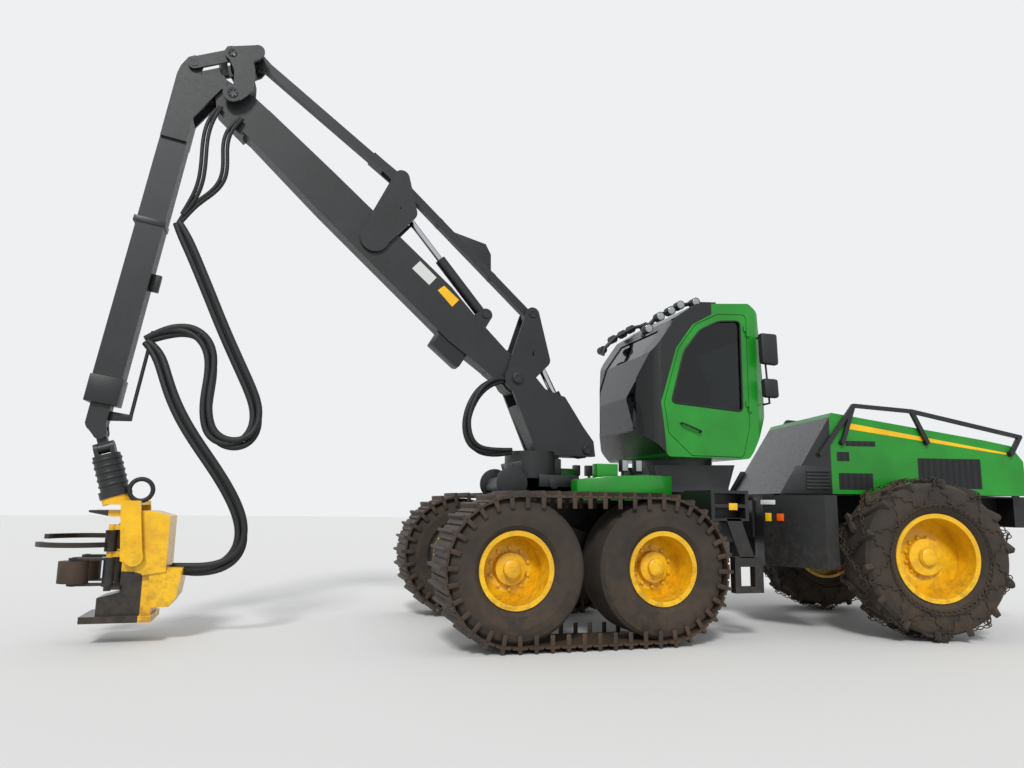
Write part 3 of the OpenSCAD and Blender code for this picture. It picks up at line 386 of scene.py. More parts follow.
# Puts a piece that faces up at a place, facing along a direction.
def facing(place, direction):
    turn = Vector(direction).to_track_quat("Z", "Y").to_matrix().to_4x4()
    return Matrix.Translation(place) @ turn


def rectangle(low, high, left, right):
    return [(left, low), (right, low), (right, high), (left, high)]


# Hoses: bundles of rubber hoses on loose routes.
# Columns: diameter, spread, number, bodies, two pairs of x and z, route.
hoses = {
    "stickLoop": [0.064, 0.04, 3, ("stick", "extension"), (4.03, 4.04, 4.21, 2.975), [
        (4.06, 0.1, 4.16), (3.99, 0.11, 4.03), (3.91, 0.12, 3.88), (3.8, 0.13, 3.64),
        (3.68, 0.14, 3.38), (3.57, 0.15, 3.13), (3.45, 0.16, 2.88), (3.33, 0.17, 2.64),
        (3.22, 0.18, 2.42), (3.16, 0.19, 2.26), (3.15, 0.2, 2.1), (3.21, 0.21, 1.96),
        (3.33, 0.21, 1.89), (3.47, 0.21, 1.9), (3.58, 0.2, 1.98), (3.63, 0.19, 2.13),
        (3.645, 0.18, 2.33), (3.62, 0.17, 2.55), (3.62, 0.16, 2.76), (3.69, 0.14, 2.93),
        (3.83, 0.12, 3.035), (3.98, 0.09, 3.05), (4.13, 0.06, 3.01), (4.262, 0.03, 2.94)]],
    "headLoop": [0.064, 0.04, 3, ("extension", "tip_link"), (4.16, 2.9, 3.7, 1.88), [
        (4.262, 0.03, 2.9), (4.14, 0.06, 2.79), (4.06, 0.1, 2.58), (3.98, 0.13, 2.36),
        (3.86, 0.15, 2.12), (3.7, 0.17, 1.88), (3.52, 0.18, 1.64), (3.36, 0.18, 1.4),
        (3.24, 0.17, 1.16), (3.21, 0.16, 0.96), (3.27, 0.15, 0.8), (3.4, 0.13, 0.7),
        (3.58, 0.1, 0.66), (3.74, 0.07, 0.665), (3.86, 0.05, 0.68)]],
    "pillarLoop": [0.05, 0.031, 3, ("turret",), None, [
        (0.56, 0.17, 2.72), (0.66, 0.19, 2.71), (0.78, 0.21, 2.64), (0.88, 0.23, 2.52),
        (0.955, 0.24, 2.36), (0.985, 0.24, 2.18), (0.95, 0.24, 2.02), (0.87, 0.23, 1.93),
        (0.75, 0.22, 1.9), (0.6, 0.21, 1.9), (0.46, 0.2, 1.92)]],
    "knuckleOuter": [0.04, 0.022, 2, ("boom", "stick"), (3.7, 5.1, 3.9, 4.5), [
        (3.52, 0.13, 5.4), (3.6, 0.17, 5.3), (3.655, 0.18, 5.16), (3.66, 0.18, 5.0),
        (3.64, 0.18, 4.84), (3.65, 0.17, 4.68), (3.72, 0.16, 4.55), (3.83, 0.14, 4.45),
        (3.93, 0.12, 4.36), (4.0, 0.11, 4.26), (4.05, 0.1, 4.17)]],
    "knuckleInner": [0.04, 0.022, 2, ("boom", "stick"), (3.8, 5.2, 3.96, 4.5), [
        (3.74, 0.13, 5.5), (3.8, 0.17, 5.38), (3.845, 0.19, 5.22), (3.86, 0.19, 5.04),
        (3.855, 0.19, 4.86), (3.86, 0.18, 4.68), (3.89, 0.16, 4.52), (3.95, 0.14, 4.38),
        (4.02, 0.12, 4.26)]],
}


# A bar, hose or seal along a line of points.
def curveOf(name, points, radius, rings=3, kind="POLY", closed=False):
    data = bpy.data.curves.new(name, "CURVE")
    data.dimensions = "3D"
    data.bevel_depth = radius
    data.bevel_resolution = rings
    data.resolution_u = 6
    data.use_fill_caps = not closed
    line = data.splines.new(kind)
    line.points.add(len(points) - 1)
    for point, place in zip(line.points, points):
        point.co = (*place, 1)
    line.use_cyclic_u = closed
    if kind == "NURBS":
        line.use_endpoint_u = True
        line.order_u = 4
    return linked(bpy.data.objects.new(name, data))


def meshOf(curve):
    selectOnly([curve])
    bpy.ops.object.convert(target="MESH")
    return bpy.context.object


# Hoses of a bundle lie round its line, flattened sideways and gathered at both ends.
bundle = {"flat": 0.6, "gathered": 0.5}


def makeHoses():
    for name, (diameter, spread, count, bodies, between, line) in hoses.items():
        points = [frontUnit @ Vector(p) for p in line]
        ends = (0, len(points) - 1)
        for k in range(count):
            turn = math.tau * k / count
            shift = Vector((math.cos(turn), bundle["flat"] * math.sin(turn), math.sin(turn)))
            shift *= spread
            route = [tuple(p + shift * (bundle["gathered"] if i in ends else 1))
                     for i, p in enumerate(points)]
            middle = meshOf(curveOf("middle", route, 0, kind="NURBS"))
            bpy.data.objects.remove(middle)
            tube = meshOf(curveOf("tube", route, diameter / 2, kind="NURBS"))
            ride = bodies[0] if len(bodies) == 1 else None
            finished(tube, f"{name}{k + 1}", ride, "tyre", None, "hose_rubber", 80)
            if len(bodies) == 2:
                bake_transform(tube)


# Wheel nuts and hub bolts: one hexagon bolt, in shares of its radius and height, is copied.
boltShape = {"chamfer": 0.18, "rise": 0.12, "dish": 0.45, "washer": 1.45, "washerHeight": 0.22}


def boltHead(radius, height):
    bolt = cylinder(6, radius, height, location=(0, 0, height / 2))
    stepTop(bolt, (radius * boltShape["chamfer"], height * boltShape["rise"]),
            (radius * boltShape["dish"], 0))
    thick = height * boltShape["washerHeight"]
    washer = cylinder(14, radius * boltShape["washer"], thick, location=(0, 0, thick / 2))
    return joined([bolt, washer])


def boltRing(bolt, centre, side, ring, count, phase=0):
    places = []
    for k in range(count):
        a = math.tau * (k + phase) / count
        onRing = Vector((ring * math.cos(a), 0, ring * math.sin(a)))
        places.append(facing(Vector(centre) + onRing, (0, side, 0)))
    return copies(boltHead(*bolt), places)


# Columns: body, unit, x of the wheel's centre, the other measures of its axle, radius of the nut
# circle, number of nuts.
wheels = [["front_unit", frontUnit, x, bogieAxles, 0.192, 10] for x in bogieAxles["x"]]
wheels.append(["rear_wheel", rearUnit, rearAxle["x"], rearAxle, 0.205, 12])
hub = {"disc": -0.017, "cap": 0.093, "capRadius": 0.085, "capDepth": 0.03, "nut": (0.018, 0.024)}


def makeWheelNuts():
    for side, word in sides:
        for row, (body, unit, x, axle, ring, count) in enumerate(wheels):
            y, z = axle["y"], axle["z"]
            nuts = boltRing(hub["nut"], (x, side * (y + hub["disc"]), z), side, ring, count, 0.5)
            cap = cylinder(40, hub["capRadius"], hub["capDepth"])
            stepTop(cap, (0.012, 0.008), (0.03, 0.006))
            cap.matrix_world = facing((x, side * (y + hub["cap"]), z), (0, side, 0))
            target = body if body == "front_unit" else "rear_wheel_" + word
            name = f"wheelNuts{word.title()}{row + 1}"
            finished(nuts + [cap], name, target, "yellow_paint", unit)


# Chain on the rear tyres: forged links along the side rings and the runs to the shoulders and over
# the tread. Ends of runs are radius and y, counted from the tyre's radius and side.
chain = {"pitch": 0.058, "width": 0.042, "wire": 0.011, "meshes": 10, "ring": 0.54, "tyre": 0.822,
         "tyreWidth": 0.6, "ringOut": 0.01, "shoulder": (-0.02, -0.022), "sideEnd": 0.006,
         "treadEdge": (0.005, -0.03), "treadMiddle": 0.007}


def chainLink():
    link = startPiece("torus", major_radius=chain["width"] / 2, minor_radius=chain["wire"] / 2,
                      major_segments=12, minor_segments=5)
    stretch = (chain["pitch"] - chain["width"]) * 0.75
    for vertex in link.data.vertices:
        if abs(vertex.co.x) > 0.001:
            vertex.co.x += math.copysign(stretch / 2, vertex.co.x)
    return link


def chainPlaces(points):
    places = []
    for a, b in zip(points, points[1:]):
        a, b = Vector(a), Vector(b)
        count = max(1, round((b - a).length / chain["pitch"]))
        turn = (b - a).to_track_quat("X", "Z").to_matrix().to_4x4()
        for k in range(count):
            roll = Matrix.Rotation(math.radians(45 + 90 * (k % 2)), 4, "X")
            places.append(Matrix.Translation(a.lerp(b, (k + 0.5) / count)) @ turn @ roll)
    return places


def atWheel(angle, radius, y):
    return (radius * math.sin(angle), y, radius * math.cos(angle))


def rearCentre(side):
    return Matrix.Translation((rearAxle["x"], side * rearAxle["y"], rearAxle["z"]))


def makeChains():
    step = math.tau / chain["meshes"]
    half, ring, tyre = chain["tyreWidth"] / 2, chain["ring"], chain["tyre"]
    (shoulder, shoulderIn), (edge, edgeIn) = chain["shoulder"], chain["treadEdge"]
    count = round(math.tau * ring / chain["pitch"] / 2) * 2
    for side, word in sides:
        places = []
        for face in (-1, 1):
            y = face * (half + chain["ringOut"])
            circle = [atWheel(math.tau * k / count, ring, y) for k in range(count + 1)]
            places += chainPlaces(circle)
            for i in range(chain["meshes"]):
                for k in (-0.5, 0.5):
                    turn = (i + k) * step
                    places += chainPlaces([
                        atWheel(i * step, tyre + shoulder, face * (half + shoulderIn)),
                        atWheel(turn, ring, face * (half + chain["sideEnd"]))])
                    places += chainPlaces([
                        atWheel(i * step, tyre + edge, face * (half + edgeIn)),
                        atWheel(turn, tyre + chain["treadMiddle"], 0)])
        centre = rearCentre(side)
        links = copies(chainLink(), [centre @ place for place in places])
        finished(links, "tyreChain" + word.title(), "rear_wheel_" + word, "track_steel",
                 rearUnit, smooth=60)


# Work lamps on the roof's edges: a bezel and a domed lens in front of it.
roofLamps = {"places": [(-1.01, 3.33), (-1.16, 3.485), (-1.3, 3.565), (-1.42, 3.64),
                        (-1.62, 3.695)],
             "face": 0.69, "radius": 0.048, "rim": 1.06, "lens": 0.93, "dome": 0.16}


def makeLamps():
    rims, lenses = [], []
    radius = roofLamps["radius"]
    lensRadius = radius * roofLamps["lens"]
    for x, z in roofLamps["places"]:
        for side in bothWays:
            place = facing((x, side * roofLamps["face"], z), (0, side, 0))
            rim = cylinder(36, radius * roofLamps["rim"], 0.02, location=(0, 0, -0.006))
            stepTop(rim, (radius * 0.1, -0.006))
            lens = startPiece("uv_sphere", segments=24, ring_count=12, radius=lensRadius)
            selectFaces(lens, lambda face: face.center.z < 0.001)
            bpy.ops.mesh.delete(type="FACE")
            leaveEdit()
            lens.scale.z = roofLamps["dome"]
            bpy.ops.object.transform_apply()
            for piece, kind in ((rim, rims), (lens, lenses)):
                piece.matrix_world = place @ piece.matrix_world
                kind.append(piece)
    finished(rims, "roofLampBezels", "cab")
    finished(lenses, "roofLampLenses", "cab", "window_glass", frontUnit, "lamp_lens", 80)


# Bare plates and stripes: thin sheet with rounded corners.
# Columns: name, body, unit, side y, slot, finish, corners (x, z).
platesOf = {
    "boomPlates": ["boom", frontUnit, 0.1206, "grey_paint", "white_plate", [
        (1.534, 4.026), (1.339, 3.852), (1.421, 3.757), (1.621, 3.93)]],
    "boomMarks": ["boom", frontUnit, 0.1206, "yellow_paint", "yellow_paint", [
        (1.251, 3.767), (1.075, 3.616), (1.152, 3.529), (1.322, 3.706)]],
    "hoodStripe": ["hood", rearUnit, 0.8405, "yellow_paint", "yellow_paint", [
        (-3.46, 2.312), (-3.46, 2.24), (-5.36, 1.978), (-5.36, 2.0)]],
}
plateThick = 0.003


def thicken(sheet, value):
    selectAll()
    bpy.ops.mesh.extrude_region_move(TRANSFORM_OT_translate={"value": value})
    bpy.ops.mesh.select_all(action="SELECT")
    bpy.ops.mesh.normals_make_consistent(inside=False)
    leaveEdit()


def plateSheet(corners, y, thick):
    sheet = startPiece("plane", size=1)
    for vertex, (x, z) in zip([sheet.data.vertices[i] for i in (0, 1, 3, 2)], corners):
        vertex.co = (x, y, z)
    thicken(sheet, (0, thick, 0))
    return bevelled(sheet, 0.001, 1)


def makePlates():
    for name, (body, unit, y, slot, finish, corners) in platesOf.items():
        parts = [plateSheet(corners, side * y, side * plateThick) for side in bothWays]
        finished(parts, name, body, slot, unit, finish, 30)


# Rubber seals round the cab's side windows.
seal = {"outline": [(-1.215, 2.48), (-1.385, 3.07), (-1.59, 3.33), (-1.84, 3.455), (-2.12, 3.48),
                    (-2.12, 2.42)],
        "thick": 0.011, "y": 0.8, "corner": 0.06, "bodies": {"left": "door", "right": "cab"}}


def makeSeals():
    for side, word in sides:
        corners = [Vector((x, side * seal["y"], z)) for x, z in seal["outline"]]
        points = []
        for k, corner in enumerate(corners):
            before, after = corners[k - 1], corners[(k + 1) % len(corners)]
            a = corner + (before - corner).normalized() * seal["corner"]
            b = corner + (after - corner).normalized() * seal["corner"]
            for t in (0, 0.25, 0.5, 0.75, 1):
                points.append(a.lerp(corner, t).lerp(corner.lerp(b, t), t))
        name = "windowSeal" + word.title()
        ring = meshOf(curveOf(name, points, seal["thick"], rings=2, closed=True))
        finished(ring, name, seal["bodies"][word], material="seal_rubber")


# The operator's seat: crowned cushions on a sprung pedestal, armrests with joysticks, a screen.
seatLow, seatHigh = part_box("operator_seat")
seat = {"centre": ((seatLow[0] + seatHigh[0]) / 2, (seatLow[1] + seatHigh[1]) / 2),
        "floor": seatLow[2], "back": seatLow[0], "front": seatHigh[0], "width": 0.46,
        "cushionTop": 0.5, "cushionThick": 0.12, "backTop": seatHigh[2], "lean": math.radians(-4),
        "bellows": 0.055, "waist": 0.86, "arm": (0.34, 0.075, 0.05), "screen": (0.03, 0.3, 0.2)}


def crownedPad(size, centre, lean, crown):
    pad = cuboid(size)
    selectAll()
    bpy.ops.mesh.subdivide(number_cuts=5)
    leaveEdit()
    half = Vector(size) / 2
    for vertex in pad.data.vertices:
        u = [vertex.co[k] / half[k] for k in range(3)]
        for k in range(3):
            if abs(u[k]) > 0.99:
                fall = math.prod(max(0, 1 - u[m] ** 2) for m in range(3) if m != k)
                vertex.co[k] += math.copysign(crown * fall - crown * 0.35, u[k])
    bevelled(pad, min(size) * 0.16, limit_method="ANGLE", angle_limit=math.radians(50))
    useModifier(pad, "SUBSURF", levels=1, render_levels=1)
    pad.matrix_world = Matrix.Translation(centre) @ Matrix.Rotation(lean, 4, "Y")
    return pad


# Columns of a cushion: name, size, place, lean, crown.
def makeCushions(x, y, wide, top):
    back, thick = seat["back"], seat["cushionThick"]
    length = seat["front"] - back
    high = seat["backTop"] - top - 0.16
    cushions = [
        ["seatCushion", (length * 0.78, wide, thick), (x + length * 0.08, y, top - thick / 2), 0,
         0.018],
        ["seatBackrest", (0.11, wide * 0.95, high), (back + 0.1, y, top + high / 2), seat["lean"],
         0.018],
        ["seatHeadrest", (0.09, wide / 2, 0.17), (back + 0.075, y, seat["backTop"] - 0.09), 0,
         0.012]]
    pads = [[name, crownedPad(*facts)] for name, *facts in cushions]
    for name, pad in pads:
        finished(pad, name, "cab", "seat_cloth", None, smooth=60)


def makePedestal(x, y, height):
    pedestal = cylinder(28, 0.16, height, location=(x, y, seat["floor"] + height / 2))
    selectFaces(pedestal, lambda face: abs(face.normal.z) < 0.5)
    bpy.ops.mesh.subdivide(number_cuts=5)
    leaveEdit()
    for vertex in pedestal.data.vertices:
        if round(vertex.co.z / seat["bellows"]) % 2:
            vertex.co.x *= seat["waist"]
            vertex.co.y *= seat["waist"]
    return pedestal


def makeJoystick():
    stick = cylinder(16, 0.017, 0.13)
    selectFaces(stick)
    bpy.ops.mesh.extrude_region_move(TRANSFORM_OT_translate={"value": (0, 0, 0.03)})
    bpy.ops.transform.resize(value=(1.35, 1.35, 1))
    leaveEdit()
    return bevelled(stick, 0.006, limit_method="ANGLE")


def makeSeat():
    (x, y), wide = seat["centre"], seat["width"]
    top = seat["floor"] + seat["cushionTop"]
    makeCushions(x, y, wide, top)
    parts = [makePedestal(x, y, seat["cushionTop"] - seat["cushionThick"])]
    for side in (-1, 1):
        armY = y + side * (wide / 2 + 0.05)
        arm = bevelled(cuboid(seat["arm"]), 0.018, 3)
        arm.location = (x + 0.06, armY, top + 0.17)
        stick = makeJoystick()
        stick.location = (x + 0.2, armY, top + 0.25)
        parts += [arm, stick]
    finished(parts, "seatBase", "cab", unit=None, material="moulded_plastic")
    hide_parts("operator_seat")
    screen = cuboid(seat["screen"])
    selectFaces(screen, lambda face: face.normal.x < -0.9)
    bpy.ops.mesh.inset(thickness=0.012)
    bpy.ops.transform.translate(value=(0.004, 0, 0))
    leaveEdit()
    place = Matrix.Translation((seat["front"] + 0.16, y - 0.3, seat["floor"] + 0.86))
    screen.matrix_world = place @ Matrix.Rotation(math.radians(12), 4, "Y")
    finished(screen, "cabScreen", "cab", unit=None, material="moulded_plastic")


# Perforated sheet behind the hood's grilles and the handle on the door.
# Openings: back, front, low and high edge.
grilles = {"face": 0.8402, "thick": 0.002, "rim": 0.02, "openings": [
    (-3.77, -3.33, 1.53, 1.757), (-3.82, -3.43, 2.022, 2.122),
    (-3.505, -3.32, 1.85, 1.995), (-5.06, -4.27, 1.56, 1.94)]}
doorHandle = {"ends": ((-1.33, 2.25), (-1.56, 2.165)), "y": 0.842, "inner": 0.798, "bend": 0.012,
              "thick": 0.012}


def makeGrilleSheets():
    sheets, rim = [], grilles["rim"]
    for back, front, low, high in grilles["openings"]:
        corners = rectangle(low + rim, high - rim, back + rim, front - rim)
        for side in bothWays:
            sheets.append(plateSheet(corners, side * grilles["face"], side * grilles["thick"]))
    finished(sheets, "grilleSheets", "hood", unit=rearUnit, material="perforated_sheet", smooth=0)


def roundBar(points, thick):
    return meshOf(curveOf("bar", points, thick))


def makeDoorHandle():
    (xa, za), (xb, zb) = doorHandle["ends"]
    y, inner, bend = doorHandle["y"], doorHandle["inner"], doorHandle["bend"]
    points = [(xa, inner, za), (xa, y - bend, za), (xa - bend, y, za - 0.005),
              (xb + bend, y, zb + 0.005), (xb, y - bend, zb), (xb, inner, zb)]
    bar = roundBar(points, doorHandle["thick"])
    finished(bar, "doorHandle", "door", material="moulded_plastic")


# Round cover plates on the ends of the crane's pins, each held by a ring of bolts.
# Columns: node that the plate sits on, body, pin's x and z, plate's radius, number of bolts.
pinCovers = [["pillar", "turret", (0.392, 2.746), 0.062, 6],
             ["pillar", "turret", (-0.446, 1.963), 0.052, 4],
             ["mid_rocker", "mid_rocker", (2.05, 4.234), 0.05, 6],
             ["bell_crank", "bell_crank", (3.6235, 5.646), 0.055, 6],
             ["bell_crank", "bell_crank", (3.6545, 6.103), 0.045, 4],
             ["rocker", "rocker", (0.204, 3.519), 0.045, 4]]
pinBolt = {"size": (0.0075, 0.009), "ring": 0.68, "seat": 0.008}


def sideOf(node, x, z, radius):
    near = [v.co.y for v in nodes[node].data.vertices
            if math.hypot(v.co.x - x, v.co.z - z) < radius + 0.06]
    return max(near), min(near)


def makePinCovers():
    for row, (node, body, (x, z), radius, count) in enumerate(pinCovers):
        centre = frontUnit @ Vector((x, 0, z))
        high, low = sideOf(node, centre.x, centre.z, radius)
        ring = radius * pinBolt["ring"]
        parts = []
        for side, y in ((1, high), (-1, low)):
            cover = cylinder(36, radius, 0.014)
            stepTop(cover, (radius * 0.08, 0.003), (radius * 0.52, -0.004))
            cover.matrix_world = facing((centre.x, y, centre.z), (0, side, 0))
            seatAt = (centre.x, y + side * pinBolt["seat"], centre.z)
            parts += [cover] + boltRing(pinBolt["size"], seatAt, side, ring, count)
        finished(parts, f"pinCover{row + 1}", body, unit=None)


# Blank tags and reflectors on the step box and on the side boxes' sloping fronts.
# Columns: name, body, unit, sides, place, direction it faces, size, slot, finish.
slope = (0.713, 0.701, 0)
tags = [
    ["ladderTag", "front_unit", frontUnit, [1], (-1.6, 1.351, 1.345), (0, 1, 0),
     (0.1, 0.07, 0.004), "yellow_paint", "yellow_paint"],
    ["boxTag", "rear_unit", rearUnit, bothWays, (-2.56, 0.735, 1.235), slope,
     (0.07, 0.09, 0.004), "yellow_paint", "yellow_paint"],
    ["boxReflector", "rear_unit", rearUnit, bothWays, (-2.655, 0.832, 1.235), slope,
     (0.08, 0.08, 0.016), "grey_paint", "amber_lens"],
    ["boxPlate", "rear_unit", rearUnit, bothWays, (-2.56, 0.735, 1.4), slope,
     (0.17, 0.05, 0.004), "grey_paint", "white_plate"]]


def makeTags():
    for name, body, unit, tagSides, (x, y, z), (dx, dy, dz), size, slot, finish in tags:
        parts = []
        for side in tagSides:
            tag = bevelled(cuboid(size), min(size[2] * 0.45, 0.006))
            tag.matrix_world = facing((x, side * y, z), (dx, side * dy, dz))
            parts.append(tag)
        finished(parts, name, body, slot, unit, finish)


# Nodes painted in two finishes: the cab's wrap-round screen, the head's far end in dark brown-black
# and the black panel in front of the hood.
# Columns: colour, darker patches, dust, second finish.
towardsRear = rearUnit.inverted()[0]
twoFinishes = {
    "cab_shell": ["#128a1c", "#0f7a18", 0.12, ((1, 0, 0), 4.0, [
        (1.88, 3.337), (2.14, 3.357), (2.48, 3.397), (3.1, 3.202), (3.39, 2.987), (3.53, 2.737)],
        "#090b0c")],
    "head_frame": ["#f0bd12", "#dfa60c", 0.25, ((1, 0, 0), 0.0, [
        (0.0, 4.577), (0.655, 4.577), (0.665, 4.917), (4.0, 4.917)], "#1d1813")],
    "engine_hood": ["#128a1c", "#0f7a18", 0.12, (
        (towardsRear[0], towardsRear[1], 0), towardsRear[3] + 6, [(0.0, 2.73), (4.0, 2.73)],
        "#141516")],
}
for name, (base, dark, dust, beyond) in twoFinishes.items():
    enamel = "gloss enamel, two finishes, " + name.replace("_", " ")
    nodes[name].data.materials.clear()
    paint = paintedSteel(enamel, base, dark, 0.3, dust, 0.5, 0, 0.15, beyond)
    nodes[name].data.materials.append(paint)
print("two-finish paint made")


# Formed pieces with an outline in x and z, or in plan.
# Lines of the crane: x and z of the line's start, and its angle in degrees.
craneLines = {"boom": (0.392, 2.746, 41.8), "stick": (3.7914, 5.7854, -81.4),
              "bar": (0.204, 3.519, 42.65)}


def onLine(name, points):
    x, z, angle = craneLines[name]
    c, s = math.cos(math.radians(angle)), math.sin(math.radians(angle))
    return [(x + along * c - over * s, z + along * s + over * c) for along, over in points]


def outlined(points, low, high, bevel=0.006, plan=False):
    piece = startPiece("circle", vertices=len(points), fill_type="NGON")
    for vertex, (a, b) in zip(piece.data.vertices, points):
        vertex.co = (a, b, low) if plan else (a, low, b)
    thicken(piece, (0, 0, high - low) if plan else (0, high - low, 0))
    return bevelled(piece, bevel) if bevel else piece


def bothSides(points, low, high, bevel=0.006):
    return [outlined(points, low, high, bevel), outlined(points, -high, -low, bevel)]


def block(low, high, bevel=0.006):
    return outlined(rectangle(low[2], high[2], low[0], high[0]), low[1], high[1], bevel)


def bothBlocks(low, high, bevel=0.006):
    return bothSides(rectangle(low[2], high[2], low[0], high[0]), low[1], high[1], bevel)


def cutWith(piece, tool, operation="DIFFERENCE"):
    useModifier(piece, "BOOLEAN", operation=operation, object=tool)
    bpy.data.objects.remove(tool)
    return piece


def roundPlate(x, z, radius, low, high):
    disc = cylinder(40, radius, high - low, location=(x, (low + high) / 2, z),
                    rotation=(math.pi / 2, 0, 0))
    bpy.ops.object.transform_apply()
    return bevelled(disc, 0.004, limit_method="ANGLE")


def bothDiscs(x, z, radius, low, high):
    return [roundPlate(x, z, radius, low, high), roundPlate(x, z, radius, -high, -low)]


# The green side covers slope in plan and from the side; two work lamps stand on each.
# Lamps: back and front edge. Their parts: y and z from and to, how far in from the edges, bevel.
covers = {
    "plan": [(-0.158, 0.44), (-0.158, 0.64), (-0.456, 0.8), (-0.914, 0.8), (-1.288, 0.64),
             (-1.288, 0.44)],
    "side": [(-0.158, 1.39), (-0.158, 1.61), (-0.456, 1.65), (-0.914, 1.67), (-1.288, 1.67),
             (-1.288, 1.39)],
    "y": (0.44, 0.8),
    "z": (1.3, 1.9),
    "box": ((-0.607, 0.56, 1.64), (-0.364, 0.7, 1.784)),
    "lamps": [(-0.713, -0.632), (-0.88, -0.795)],
    "foot": (0.66, 0.69, 1.65, 1.72, 0.025, 0.008),
    "body": (0.65, 0.74, 1.702, 1.835, 0, 0.008),
    "lens": (0.738, 0.744, 1.712, 1.825, 0.01, 0.003),
}


def makeCovers():
    painted, housings, lenses = bothBlocks(*covers["box"]), [], []
    for side, cover in zip(bothWays, bothSides(covers["side"], *covers["y"], 0)):
        plan = outlined([(x, side * y) for x, y in covers["plan"]], *covers["z"], 0, plan=True)
        painted.append(bevelled(cutWith(cover, plan, "INTERSECT"), 0.012))
    for back, front in covers["lamps"]:
        for part, kind in (("foot", housings), ("body", housings), ("lens", lenses)):
            y0, y1, z0, z1, inset, bevel = covers[part]
            kind += bothBlocks((back + inset, y0, z0), (front - inset, y1, z1), bevel)
    green = finished(painted, "sideCovers", "front_unit", "green_paint", frontUnit, smooth=30)
    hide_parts("front_covers")
    finished(housings, "deckLampHousings", "front_unit", material="moulded_plastic")
    finished(lenses, "deckLampLenses", "front_unit", "window_glass", frontUnit, "lamp_lens")


# The boarding ladder: a box with two open steps, a sloping plate and a hanging step frame.
ladderParts = {
    "box": ((-1.784, 0.8, 1.199), (-1.345, 1.35, 1.511)),
    "steps": [((-1.745, 1.18, z), (-1.385, 1.36, z + 0.11)) for z in (1.225, 1.37)],
    "slope": [(-1.511, 1.23), (-1.687, 1.23), (-1.842, 0.82), (-1.665, 0.82)],
    "frame": rectangle(0.837, 0.474, -1.602, -1.934),
    "gap": rectangle(0.737, 0.537, -1.669, -1.834),
    "rails": [((x, 0.42, 1.39), (x + 0.05, 0.81, 1.5)) for x in (-1.78, -1.4)],
}


def makeLadder():
    box = block(*ladderParts["box"], 0)
    for step in ladderParts["steps"]:
        box = cutWith(box, block(*step, 0))
    slopePlate = outlined(ladderParts["slope"], 1.32, 1.35)
    hanging = outlined(ladderParts["frame"], 1.26, 1.35, 0)
    hanging = cutWith(hanging, outlined(ladderParts["gap"], 1.25, 1.36, 0))
    parts = [box, slopePlate, hanging] + [block(*rail) for rail in ladderParts["rails"]]
    piece = finished(parts, "boardingLadder", "front_unit", smooth=30)
    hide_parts("ladder")


# Castings and plates round the crane's foot. Discs: x, z, radius, y from and to.
craneBase = {
    "foot": [(0.56, 1.39), (-0.3, 1.39), (-0.26, 1.64), (0.48, 1.64), (0.6, 1.56), (0.6, 1.45)],
    "neck": [(-0.125, 1.64), (-0.125, 1.85), (0.23, 1.85), (0.459, 1.795), (0.44, 1.74),
             (0.385, 1.64)],
    "cheek": rectangle(1.53, 1.662, -0.284, 0.184),
    "ear": rectangle(1.394, 1.535, -0.296, -0.213),
    "discs": [(0.49, 1.568, 0.176, 0.34, 0.366), (0.015, 1.572, 0.062, 0.34, 0.4),
              (-0.237, 1.572, 0.062, 0.34, 0.4)],
}


def makeCraneBase():
    parts = [outlined(craneBase["foot"], -0.34, 0.34, 0.015),
             outlined(craneBase["neck"], -0.24, 0.24, 0.015)]
    parts += bothSides(craneBase["cheek"], 0.34, 0.376)
    parts += bothSides(craneBase["ear"], 0.34, 0.4)
    for x, z, radius, low, high in craneBase["discs"]:
        parts += bothDiscs(x, z, radius, low, high)
    finished(parts, "craneBaseCastings", "front_unit", smooth=30)


# Fin and bands on the rear drawbar, the guard box under the boom, bands on the stick, the arm that
# carries the hoses behind it, and the rotator's ribs with the hose ring. Outlines are pairs of the
# distance along a line of the crane and over it.
trim = {
    "fin": [(1.362, -0.04), (1.33, 0.053), (0.963, 0.247), (0.835, 0.203), (0.681, 0.043),
            (0.665, -0.04)],
    "clamps": [rectangle(-0.052, 0.052, d - 0.03, d + 0.03) for d in (0.64, 1.5)],
    "guard": [(1.025, -0.19), (0.591, -0.19), (0.562, -0.357), (0.6, -0.385), (0.982, -0.398)],
    "guardSheet": [(0.98, -0.215), (0.625, -0.215), (0.6, -0.35), (0.625, -0.365), (0.95, -0.375)],
    "bands": [(rectangle(0.136, 0.444, 1.66, 1.725), 0.115),
              (rectangle(0.138, 0.442, 3.34, 3.61), 0.121),
              (rectangle(0.06, 0.15, 2.21, 2.39), 0.03)],
    "arm": [(2.791, 0.012), (3.705, 0.012)],
    "armEnd": [(3.665, -0.006), (3.725, -0.006), (3.765, 0.23), (3.665, 0.23)],
}
rotator = {"pin": (4.6039, 1.971), "lean": math.radians(17.2), "ribs": 5, "pitch": 0.062,
           "first": 0.268, "radius": 0.134, "thick": 0.024}
hoseRing = {"place": (4.183, 0.1, 1.427), "radius": 0.105, "wire": 0.022}


